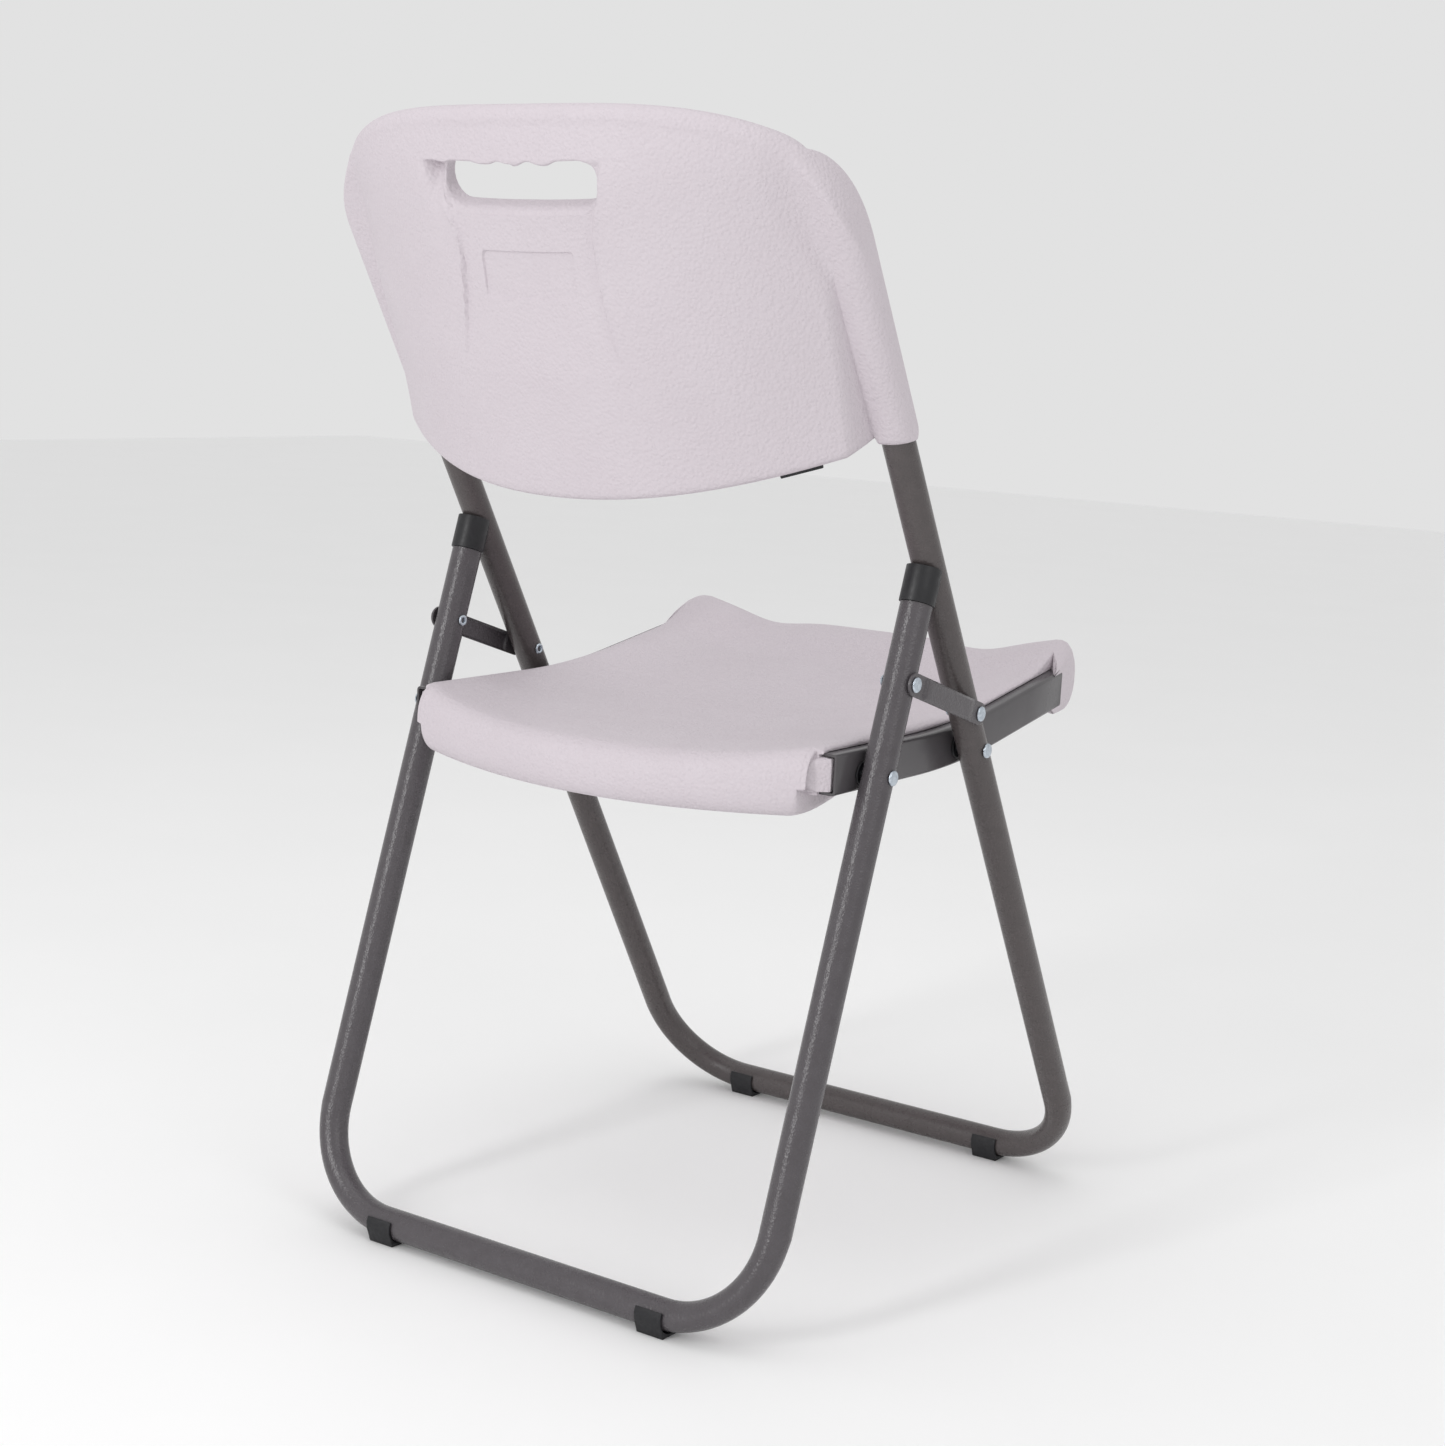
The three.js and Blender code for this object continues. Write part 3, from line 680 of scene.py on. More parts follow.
@dataclass(frozen=True)
class Plan:
    """Sizes and places that the pieces share, in millimetres."""

    middle_y: float = -15.5
    bar_spread: float = 519.4
    bar_z: float = 15.5
    tube_r: float = 12.5
    tube_x: float = 223.0
    bend_r: float = 80.0
    front_lean: float = math.radians(30.41)
    rear_lean: float = math.radians(18.0)
    front_top: float = 925.0
    rear_top: float = 563.0
    link_front_at: float = 516.0
    seat_front_at: float = 478.9
    link_rear_at: float = 502.4
    seat_rear_at: float = 430.4
    rail_x: float = 208.0
    rail_h: float = 31.5
    rail_flange: float = 14.0
    rail_t: float = 2.0
    rail_rear: float = 162.0
    rail_front: float = -196.0
    rail_z: float = 427.0
    rail_bend_rear: float = 40.0
    rail_bend_front: float = -90.0
    rail_rise: float = 0.178
    gap: float = 0.3

    @property
    def crown_out(self) -> float:
        """Outermost line of a tube."""
        return self.tube_x + self.tube_r

    @property
    def crown_in(self) -> float:
        """Innermost line of a tube."""
        return self.tube_x - self.tube_r

    def front(self, x: float, along: float, behind: float = 0.0) -> Point:
        """Place a point on the front frame.

        Args:
            x: distance to the sitter's left.
            along: length up the frame's lean from its bar.
            behind: depth behind the frame's plane.

        Returns:
            The point.
        """
        y = self.middle_y - self.bar_spread / 2 + along * math.sin(self.front_lean)
        z = self.bar_z + along * math.cos(self.front_lean)
        return (x, y + behind * math.cos(self.front_lean), z - behind * math.sin(self.front_lean))

    def rear(self, x: float, along: float, behind: float = 0.0) -> Point:
        """Place a point on the rear frame.

        Args:
            x: distance to the sitter's left.
            along: length up the frame's lean from its bar.
            behind: depth behind the frame's plane.

        Returns:
            The point.
        """
        y = self.middle_y + self.bar_spread / 2 - along * math.sin(self.rear_lean)
        z = self.bar_z + along * math.cos(self.rear_lean)
        return (x, y + behind * math.cos(self.rear_lean), z + behind * math.sin(self.rear_lean))

    def rail_height(self, y: float) -> float:
        """Centre height of the seat rails, level at the rear and rising towards the front.

        Args:
            y: distance behind the middle of the floor.

        Returns:
            The height.
        """
        start, end = self.rail_bend_rear, self.rail_bend_front
        run = start - end
        if y >= start:
            return self.rail_z
        if y >= end:
            return self.rail_z + self.rail_rise * (start - y) ** 2 / (2 * run)
        return self.rail_z + self.rail_rise * (run / 2 + end - y)


PLAN = Plan()


class Assembly:
    """A group of pieces that is built, dressed and fixed to its body of the chair."""

    def fix(self, obj: bpy.types.Object, body: str, finish: Finish, slot: str, *nodes: str) -> None:
        """Dress a piece and make it ride.

        Args:
            obj: the finished piece.
            body: the CAD body that it moves with.
            finish: its material.
            slot: not used.
            nodes: the CAD nodes that it stands for.
        """
        obj.data.materials.clear()
        obj.data.materials.append(finish.material())
        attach(obj, body)
        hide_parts(*nodes)
        LOG.info("%s: %d faces on %s", obj.name, len(obj.data.polygons), body)

    def fix_copy(
        self, node: str, ending: str, bevel: float, body: str, finish: Finish, slot: str
    ) -> None:
        """Fix a copy of a CAD node with rounded edges.

        Args:
            node: the CAD node.
            ending: what the piece's name adds to the node's.
            bevel: width of the rounded edges.
            body: the CAD body that it moves with.
            finish: its material.
            slot: a material slot's name, handed on to fix.
        """
        self.fix(MeshShop.refined(node, node + ending, bevel), body, finish, slot, node)


# ---------------------------------------------------------------- geometry node recipes


class Recipe:
    """A geometry node tree with named inputs, used through a modifier and then baked."""

    def __init__(self, name: str) -> None:
        """Start an empty tree with a geometry input and output.

        Args:
            name: the tree's name.
        """
        self.group = bpy.data.node_groups.new(name, "GeometryNodeTree")
        self.face = self.group.interface
        self.face.new_socket("Geometry", in_out="INPUT", socket_type="NodeSocketGeometry")
        self.face.new_socket("Geometry", in_out="OUTPUT", socket_type="NodeSocketGeometry")
        self.nodes = NodeTree(self.group)

    def input(self, name: str, kind: str) -> None:
        """Add a named input of a socket type."""
        self.face.new_socket(name, in_out="INPUT", socket_type=kind)

    def attribute(self, name: str, kind: str) -> Socket:
        """Read a named attribute of a data type."""
        made = self.nodes.add("GeometryNodeInputNamedAttribute", {"Name": name}, data_type=kind)
        return made.outputs["Attribute"]

    def finish(self, shape: Socket, material: Socket) -> None:
        """End the tree with real geometry in its material.

        Args:
            shape: the geometry.
            material: the material that it gets.
        """
        add = self.nodes.add
        real = add("GeometryNodeRealizeInstances", {"Geometry": shape}).outputs[0]
        dressed = add("GeometryNodeSetMaterial", {"Geometry": real, "Material": material})
        add("NodeGroupOutput", {"Geometry": dressed.outputs[0]})

    def bake(
        self, source: bpy.types.Object, name: str, values: dict[str, object]
    ) -> bpy.types.Object:
        """Run the tree on an object and return the result as a plain mesh.

        Args:
            source: the object that the tree starts from. It is removed.
            name: the new piece's name.
            values: named input to its value.

        Returns:
            The plain object, with no modifier on it.
        """
        modifier = source.modifiers.new("recipe", "NODES")
        modifier.node_group = self.group
        for item in self.face.items_tree:
            if item.item_type == "SOCKET" and item.in_out == "INPUT" and item.name in values:
                modifier[item.identifier] = values[item.name]
        return MeshShop.baked(source, name)


class TubeRecipe(Recipe):
    """Sweeps a round tube along a path and flattens it on the outside of its bends."""

    def __init__(self) -> None:
        """Write the tree."""
        super().__init__("bent_tube")
        self.input("Tube Radius", "NodeSocketFloat")
        self.input("Sides", "NodeSocketInt")
        self.input("Flattening", "NodeSocketFloat")
        self.input("Paint", "NodeSocketMaterial")
        add = self.nodes.add
        given = add("NodeGroupInput").outputs
        path = add("GeometryNodeMeshToCurve", {"Mesh": given["Geometry"]})
        marked = add(
            "GeometryNodeStoreNamedAttribute",
            {
                "Geometry": path.outputs["Curve"],
                "Name": "axis_point",
                "Value": add("GeometryNodeInputPosition").outputs[0],
            },
            data_type="FLOAT_VECTOR",
            domain="POINT",
        )
        section = add(
            "GeometryNodeCurvePrimitiveCircle",
            {"Resolution": given["Sides"], "Radius": given["Tube Radius"]},
        )
        swept = add(
            "GeometryNodeCurveToMesh",
            {
                "Curve": marked.outputs[0],
                "Profile Curve": section.outputs["Curve"],
                "Fill Caps": True,
            },
        )
        axis = self.attribute("axis_point", "FLOAT_VECTOR")
        outward = self.attribute("outward", "FLOAT_VECTOR")
        squeeze = self.attribute("squeeze", "FLOAT")
        place = add("GeometryNodeInputPosition").outputs[0]
        arm = self.nodes.vector("SUBTRACT", place, axis)
        reach = self.nodes.vector("DOT_PRODUCT", arm, outward, "Value")
        outer = self.nodes.math("MAXIMUM", reach, 0.0)
        amount = self.nodes.math("MULTIPLY", squeeze, given["Flattening"])
        pull = self.nodes.math("MULTIPLY", self.nodes.math("MULTIPLY", outer, amount), -1.0)
        moved = add(
            "GeometryNodeSetPosition",
            {
                "Geometry": swept.outputs[0],
                "Offset": self.nodes.vector("SCALE", outward, pull),
            },
        )
        smooth = add("GeometryNodeSetShadeSmooth", {"Geometry": moved.outputs[0]})
        self.finish(smooth.outputs[0], given["Paint"])


class FastenerRecipe(Recipe):
    """Puts one fastener on each point, turned to face the way that the point says."""

    def __init__(self) -> None:
        """Write the tree."""
        super().__init__("fastener_set")
        self.input("Fastener", "NodeSocketObject")
        self.input("Size", "NodeSocketFloat")
        self.input("Plating", "NodeSocketMaterial")
        add = self.nodes.add
        given = add("NodeGroupInput").outputs
        shape = add("GeometryNodeObjectInfo", {"Object": given["Fastener"]})
        facing = self.attribute("facing", "FLOAT_VECTOR")
        turned = add("FunctionNodeAlignRotationToVector", {"Vector": facing}, axis="Z")
        placed = add(
            "GeometryNodeInstanceOnPoints",
            {
                "Points": given["Geometry"],
                "Instance": shape.outputs["Geometry"],
                "Rotation": turned.outputs["Rotation"],
                "Scale": self.nodes.vector("SCALE", (1.0, 1.0, 1.0), given["Size"]),
            },
        )
        self.finish(placed.outputs[0], given["Plating"])


# ---------------------------------------------------------------- frames


@dataclass
class TubeFrame(Assembly):
    """One U-shaped frame of bent round tube.

    Attributes:
        name: the CAD node that it stands for.
        body: the CAD body that it moves with.
        place: turns x and a length up the lean into a point.
        top: length of the legs up the lean.
        finish: its paint.
        recipe: the tree that sweeps it.
        corner_steps: stations round a corner.
        flattening: share of the outer half that a bend takes away.
        sides: flats round the tube.
        stations: axis points, each with its way out of the bend and its share of the flattening.
    """

    name: str
    body: str
    place: Callable[[float, float], Point]
    top: float
    finish: Finish
    recipe: TubeRecipe
    corner_steps: int = 22
    flattening: float = 0.2
    sides: int = 40
    stations: list[tuple[Point, Vector, float]] = field(default_factory=list)

    def build(self) -> None:
        """Sweep the tube and fix it to its body."""
        self._leg(-1)
        self._leg(1)
        mesh = bpy.data.meshes.new(self.name + "_path")
        points = [tuple(c * MM for c in p) for p, _, _ in self.stations]
        mesh.from_pydata(points, [(i, i + 1) for i in range(len(points) - 1)], [])
        mesh.attributes.new("outward", "FLOAT_VECTOR", "POINT")
        mesh.attributes.new("squeeze", "FLOAT", "POINT")
        for i, (_, direction, share) in enumerate(self.stations):
            mesh.attributes["outward"].data[i].vector = direction
            mesh.attributes["squeeze"].data[i].value = share
        path = linked(self.name + "_path", mesh)
        values = {
            "Tube Radius": PLAN.tube_r * MM,
            "Sides": self.sides,
            "Flattening": self.flattening,
            "Paint": self.finish.material(),
        }
        tube = self.recipe.bake(path, self.name + "_tube", values)
        self.fix(tube, self.body, self.finish, "frame_paint", self.name)

    def _leg(self, sign: int) -> None:
        """Add one side's stations, downwards on the right and upwards on the left.

        Args:
            sign: 1 for the sitter's left and -1 for the right.
        """
        r = PLAN.bend_r
        made = []
        for share in (1.0, 0.5, 0.0):
            along = r + (self.top - r) * share
            made.append((self.place(sign * PLAN.tube_x, along), Vector((0, 0, 0)), 0.0))
        for i in range(1, self.corner_steps + 1):
            angle = math.pi / 2 * (1 - i / self.corner_steps)
            x = PLAN.tube_x - r + r * math.sin(angle)
            point = self.place(sign * x, r - r * math.cos(angle))
            centre = self.place(sign * (PLAN.tube_x - r), r)
            direction = (Vector(point) - Vector(centre)).normalized()
            bent = i < self.corner_steps
            share = math.sin(math.pi * i / self.corner_steps) ** 0.6 if bent else 0.0
            made.append((point, direction, share))
        self.stations += made if sign < 0 else made[::-1]


# ---------------------------------------------------------------- rivets


@dataclass
class Rivets(Assembly):
    """The zinc rivets of the folding linkage."""

    recipe: FastenerRecipe
    head_r: float = 6.0
    head_t: float = 2.0
    shank_r: float = 3.0
    tail_r: float = 4.6
    tail_t: float = 1.5
    tail_shank: float = 9.0
    link_t: float = 2.0

    def build(self) -> None:
        """Make and fix the rivets of every pivot."""
        over_link = PLAN.crown_out + 2 * PLAN.gap + self.link_t
        over_tube = PLAN.crown_out + PLAN.gap
        in_channel = PLAN.rail_x - PLAN.rail_t - PLAN.gap
        through = self._rivet(over_link - (PLAN.crown_in - PLAN.gap), True)
        to_rail = self._rivet(over_tube - in_channel, True)
        stub = self._rivet(over_link - (PLAN.crown_out + PLAN.gap), False)
        tail = self._tail()
        in_tube = PLAN.crown_in - PLAN.gap
        link_front = PLAN.front(0, PLAN.link_front_at)
        seat_front = PLAN.front(0, PLAN.seat_front_at)
        link_rear = PLAN.rear(0, PLAN.link_rear_at)
        seat_rear = PLAN.rear(0, PLAN.seat_rear_at)
        for node, body, shape, out, pivot in (
            ("link_front_rivet", "frame", through, over_link, link_front),
            ("seat_front_rivet", "frame", to_rail, over_tube, seat_front),
            ("seat_rear_rivet", "rear_legs", to_rail, over_tube, seat_rear),
            ("link_rear_rivet_tail", "rear_legs", tail, in_tube, link_rear),
        ):
            self._set(node + "s", body, shape, out, pivot, list(Side), node)
        for side in Side:
            name = f"link_rear_rivet_{side.word}_head"
            body = f"{side.word}_link"
            self._set(name, body, stub, over_link, link_rear, [side], "link_rear_rivet")
        for source in (through, to_rail, stub, tail):
            bpy.data.objects.remove(source)

    def _head(self) -> list[tuple[float, float]]:
        """Profile of a flat head with a rolled rim and a faint raised centre.

        Returns:
            (radius, height) pairs from the top of the axis to the shank.
        """
        r, t = self.head_r, self.head_t
        return [
            (0, t), (r * 0.3, t), (r * 0.42, t * 0.93), (r * 0.72, t * 0.93), (r * 0.86, t * 0.86),
            (r * 0.95, t * 0.66), (r, t * 0.36), (r, t * 0.12), (r * 0.97, 0), (self.shank_r, 0),
        ]

    def _formed(self, seat: float) -> list[tuple[float, float]]:
        """Profile of a formed, hollow inner end.

        Args:
            seat: height that the end bears on. It hangs below.

        Returns:
            (radius, height) pairs from its seat to the bottom of its hollow.
        """
        r, low = self.tail_r, seat - self.tail_t
        return [
            (r * 0.95, seat), (r, seat - 0.5), (r * 0.93, low + 0.25), (r * 0.75, low),
            (r * 0.55, low + 0.3), (r * 0.45, low + 1.2), (r * 0.42, low + 4.0), (0, low + 4.4),
        ]

    def _rivet(self, reach: float, tailed: bool) -> bpy.types.Object:
        """Make a rivet whose head sits on z = 0.

        Args:
            reach: length of the shank below the head.
            tailed: whether it ends in a formed tail.

        Returns:
            The rivet.
        """
        end = self._formed(-reach) if tailed else [(0, -reach)]
        return MeshShop.lathe("rivet_source", self._head() + [(self.shank_r, -reach)] + end)

    def _tail(self) -> bpy.types.Object:
        """Make the inner end of a rivet with a short shank inside the tube.

        Returns:
            The tail, which faces down.
        """
        shank = [(0, self.tail_shank), (self.shank_r, self.tail_shank), (self.shank_r, 0)]
        return MeshShop.lathe("rivet_tail_source", shank + self._formed(0.0))

    def _set(
        self, name: str, body: str, shape: bpy.types.Object, out: float, pivot: Point,
        sides: list[Side], node: str,
    ) -> None:
        """Place one rivet a side.

        Args:
            name: the piece's name.
            body: the CAD body that it rides on.
            shape: the rivet to repeat.
            out: distance of its head's seat from the middle plane.
            pivot: the pivot's place on the middle plane.
            sides: the sides that get one.
            node: the CAD nodes' name before the side.
        """
        mesh = bpy.data.meshes.new(name + "_points")
        y, z = pivot[1] * MM, pivot[2] * MM
        mesh.from_pydata([(side.value * out * MM, y, z) for side in sides], [], [])
        facing = mesh.attributes.new("facing", "FLOAT_VECTOR", "POINT")
        for i, side in enumerate(sides):
            facing.data[i].vector = (side.value, 0.0, 0.0)
        points = linked(name + "_points", mesh)
        values = {"Fastener": shape, "Size": 1.0, "Plating": ZINC.material()}
        made = self.recipe.bake(points, name, values)
        MeshShop.shaded(made.data, 30.0)
        self.fix(made, body, ZINC, "zinc", *[f"{node}_{s.word}" for s in sides])


# ---------------------------------------------------------------- links


@dataclass
class Links(Assembly):
    """Pressed steel straps with a raised channel between two flat, round tabs."""

    width: float = 18.0
    thickness: float = 2.0
    rise: float = 2.0
    tab: float = 13.5
    ramp: float = 3.0

    def build(self) -> None:
        """Make both links."""
        for side in Side:
            name = f"link_{side.word}"
            strap = self._strap(name + "_strap", side)
            self.fix(strap, f"{side.word}_link", FRAME_PAINT, "frame_paint", name)

    def _strap(self, name: str, side: Side) -> bpy.types.Object:
        """Loft one strap from its front pivot to its rear pivot.

        Args:
            name: the piece's name.
            side: the side that it is on.

        Returns:
            The strap.
        """
        front = Vector(PLAN.front(0, PLAN.link_front_at))
        rear = Vector(PLAN.rear(0, PLAN.link_rear_at))
        axis = (rear - front).normalized()
        across = Vector((0, -axis.z, axis.y))
        length = (rear - front).length
        half = self.width / 2
        rings = []
        ends = [half * (1 - math.cos(math.pi / 2 * i / 10)) for i in range(11)]
        stations = [-half + e for e in ends]
        stations += [3, 7, self.tab - 1, self.tab, self.tab + 0.5]
        stations += [self.tab + self.ramp * i / 6 for i in range(1, 7)]
        flat = self.tab + self.ramp
        stations += [flat + (length / 2 - flat) * i / 5 for i in range(1, 6)]
        stations += [length - a for a in stations[-2::-1]]
        for a in stations:
            over = max(-a, a - length, 0.0)
            reach = math.sqrt(max(half * half - over * over, 0.0))
            lift = self.rise * smoothstep(self.tab, self.tab + self.ramp, min(a, length - a))
            rings.append(self._ring(side, front + axis * a, across * reach, lift))
        return MeshShop.loft(name, rings, capped=False, crease=38.0)

    def _ring(self, side: Side, centre: Vector, arm: Vector, lift: float) -> Ring:
        """Make one closed section across the strap.

        Args:
            side: the side that the strap is on.
            centre: the section's middle.
            arm: the way from the middle to one edge.
            lift: how far the strap's channel stands out here.

        Returns:
            The section's points.
        """
        reach = arm.length
        face = PLAN.crown_out + PLAN.gap
        shares = [-1.0, -0.985, -0.94, -0.86, -0.74, -0.4, 0.0, 0.4, 0.74, 0.86, 0.94, 0.985, 1.0]
        outer, inner = [], []
        for t in shares:
            edge = (1 - abs(t)) * reach
            crown = lift * smoothstep(0.0, 2.6, edge)
            soft = 0.55 * (1 - rounded(edge, 0.6))
            at = centre + arm * t
            outer.append((side.value * (face + self.thickness + crown - soft), at.y, at.z))
            inner.append((side.value * (face + crown * 0.98 + soft), at.y, at.z))
        return outer + inner[::-1]


# ---------------------------------------------------------------- seat rails


@dataclass
class SeatRails(Assembly):
    """Folded steel channels that carry the seat between the frames."""

    outer_bend: float = 3.2

    def build(self) -> None:
        """Make both rails."""
        for side in Side:
            name = f"seat_rail_{side.word}"
            rail = MeshShop.loft(name + "_channel", self._rings(side), capped=True, crease=32.0)
            self.fix(rail, "seat", RAIL_PAINT, "rail_paint", name)

    def _section(self) -> list[tuple[float, float]]:
        """Draw the closed C section.

        Returns:
            Pairs of the distance from the middle plane and from the centre height.
        """
        x, h, t = PLAN.rail_x, PLAN.rail_h / 2, PLAN.rail_t
        tip = x - PLAN.rail_flange
        r, inner = self.outer_bend, self.outer_bend - t
        turn = [math.pi / 2 * i / 6 for i in range(7)]
        points = [(tip, h - 0.3), (tip + 0.4, h)]
        points += [(x - r + r * math.sin(a), h - r + r * math.cos(a)) for a in turn]
        points += [(x - r + r * math.cos(a), -h + r - r * math.sin(a)) for a in turn]
        points += [(tip + 0.4, -h), (tip, -h + 0.3), (tip, -h + t - 0.3), (tip + 0.4, -h + t)]
        points += [(x - r + inner * math.sin(a), -h + r - inner * math.cos(a)) for a in turn]
        points += [(x - r + inner * math.cos(a), h - r + inner * math.sin(a)) for a in turn]
        points += [(tip + 0.4, h - t), (tip, h - t + 0.3)]
        return points

    def _rings(self, side: Side) -> list[Ring]:
        """Place the section at stations from the rear end to the front end.

        Args:
            side: the side that the rail is on.

        Returns:
            The sections.
        """
        bend = PLAN.rail_bend_rear - PLAN.rail_bend_front
        ys = [PLAN.rail_rear, PLAN.rail_rear - 0.5, 100.0, PLAN.rail_bend_rear]
        ys += [PLAN.rail_bend_rear - bend * i / 16 for i in range(1, 17)]
        ys += [-140.0, PLAN.rail_front + 0.5, PLAN.rail_front]
        rings = []
        for y in ys:
            end = min(PLAN.rail_rear - y, y - PLAN.rail_front)
            shrink = 0.25 if end < 0.1 else 0.0
            centre = PLAN.rail_height(y)
            ring = []
            for x, v in self._section():
                out = x - shrink * (1 if x > PLAN.rail_x - 2 else 0)
                ring.append((side.value * out, y + PLAN.middle_y, centre + v))
            rings.append(ring)
        return rings


# ---------------------------------------------------------------- seat


@dataclass
class Seat(Assembly):
    """Blow-moulded seat: a dished top with rolled sides over the rails and a deep rear skirt."""

    front_y: float = -239.0
    rear_y: float = 219.0
    rear_bow: float = 38.0
    body_half: float = 186.0
    nose_half: float = 207.5
    bead_half: float = 197.0
    tongue_half: float = 203.0
    corner: float = 24.0
    bead_rise: float = 4.5
    corner_rise: float = 14.0
    dish: float = 13.5
    dish_half: float = 188.0
    hollow: float = 7.0
    hollow_x: float = 112.0
    hollow_reach: float = 38.0
    roll: float = 9.0
    roll_from: float = 191.5
    roll_reach: float = 15.0
    skirt: float = 15.0
    skirt_bow: float = 5.0
    nose_lip: float = 7.0

    def build(self) -> None:
        """Loft the seat and fix it with its screws and spacers."""
        panel = MeshShop.loft("seat_moulding", self._rings(), capped=False, crease=52.0)
        self.fix(panel, "seat", PLASTIC, "moulded_plastic", "seat_panel")
        for side in Side:
            for i in (1, 2):
                self.fix_copy(f"seat_screw_{i}_{side.word}", "_zinc", 0.3, "seat", ZINC, "zinc")
            for place in ("front", "rear"):
                node = f"seat_{place}_spacer_{side.word}"
                self.fix_copy(node, "_moulded", 0.5, "seat", BLACK_PLASTIC, "black_plastic")

    def front_edge(self, x: float) -> float:
        """Front outline, with rounded corners."""
        over = min(max(abs(x) - (self.nose_half - self.corner), 0.0), self.corner)
        return self.front_y + self.corner - math.sqrt(self.corner**2 - over**2)

    def rear_edge(self, x: float) -> float:
        """Rear outline, bowed backwards."""
        return self.rear_y - self.rear_bow * (abs(x) / self.body_half) ** 2

    def crest(self, y: float) -> float:
        """Height of the rolled side edges."""
        corner = self.corner_rise * (1 - smoothstep(-214, -158, y))
        return PLAN.rail_height(y) + PLAN.rail_h / 2 + self.bead_rise + corner

    def top(self, x: float, y: float) -> float:
        """Read the height of the top surface.

        Args:
            x: distance from the middle plane.
            y: distance behind the middle of the floor.

        Returns:
            The height.
        """
        out = min(abs(x) / self.dish_half, 1.0)
        front = 1 - smoothstep(-215, -90, y)
        across = (abs(x) - self.hollow_x) / self.hollow_reach
        roll = max(abs(x) - self.roll_from, 0.0) / self.roll_reach
        dip = self.dish * (1 - out**3) + self.hollow * front * math.exp(-(across**2))
        return self.crest(y) - dip - self.roll * roll * roll

    def under(self, x: float, y: float) -> float:
        """Read the height of the underside, which drops into a skirt and a nose lip.

        Args:
            x: distance from the middle plane.
            y: distance behind the middle of the floor.

        Returns:
            The height.
        """
        u = min(abs(x) / self.body_half, 1.0)
        skirt = (self.skirt + self.skirt_bow * (1 - u * u)) * smoothstep(70, 165, y)
        nose = self.nose_lip * (1 - smoothstep(-225, -120, y))
        return PLAN.rail_height(y) - PLAN.rail_h / 2 - 2.0 - skirt - nose

    def _side_profile(self, y: float) -> list[tuple[float, float]]:
        """Draw the seat's side, from the rolled edge to the underside.

        Args:
            y: the station's distance behind the middle of the floor.

        Returns:
            18 pairs of x and height.
        """
        centre = PLAN.rail_height(y)
        flange = centre + PLAN.rail_h / 2
        low = centre - PLAN.rail_h / 2
        inner = PLAN.rail_x - PLAN.rail_flange - PLAN.gap
        under = self.under(self.body_half, y)
        foot = [(self.body_half - 0.6, under + 5.0), (self.body_half - 2.2, under + 2.2)]
        if y < PLAN.rail_front - PLAN.gap:
            under = self.under(self.nose_half, y)
            high = self.top(self.nose_half, y) - 1.5
            side = [(self.nose_half, high + (under + 9 - high) * i / 8) for i in range(9)]
            return (
                [(191.0, self.top(191, y)), (195.5, self.top(195.5, y)), (200.0, self.top(200, y))]
                + [(204.0, self.top(204, y)), (206.4, self.top(206.4, y) - 0.4)]
                + side
                + [(206.6, under + 5.4), (204.0, under + 2.2), (199.5, under + 0.5), (193.0, under)]
            )
        tongue = self.tongue_half
        bead = self.bead_half
        below = self.body_half
        if y > PLAN.rail_rear + PLAN.gap:
            tongue = min(max(tongue - 2.3 * (y - PLAN.rail_rear), below + 1.0), tongue)
            bead = 192.0
            inner = 191.0
            neck = [(inner, low + 4.0), (below, low + 3.4), (below, low)]
        else:
            neck = [(inner, low + 2.4), (inner, low - 0.4), (below, low - 0.6)]
        return [
            (188.5, self.top(188.5, y)), (bead - 4.0, self.top(bead - 4.0, y)),
            (bead - 1.3, self.top(bead - 1.3, y)), (bead - 0.3, self.top(bead, y) - 0.5),
            (bead, self.top(bead, y) - 1.4),
            (bead - 0.5, flange + 0.45), (inner, flange + 0.35), (inner, flange - 2.4),
            (tongue - 0.5, flange - 2.6), (tongue, flange - 3.4), (tongue, centre),
            (tongue, low + 3.4), (tongue - 0.5, low + 2.6), *neck, *foot,
        ]

    def _half_ring(self, y: float) -> list[tuple[float, float, bool]]:
        """Draw half the section at a station.

        Args:
            y: the station's distance behind the middle of the floor.

        Returns:
            x, height and whether the point belongs to the top or the side, for each point.
        """
        xs = [186.0 * math.sin(math.pi / 2 * i / 34) ** 0.92 for i in range(35)]
        points = [(x, self.top(x, y), True) for x in xs]
        side = self._side_profile(y)
        points += [(x, z, True) for x, z in side]
        edge = side[-1][0]
        under_xs = [edge - 2.2, edge - 5.5] + [(edge - 9.0) * (1 - i / 26) for i in range(27)]
        lifts = [1.0, 0.25] + [0.0] * 27
        points += [(x, self.under(x, y) + lift, False) for x, lift in zip(under_xs, lifts)]
        return points

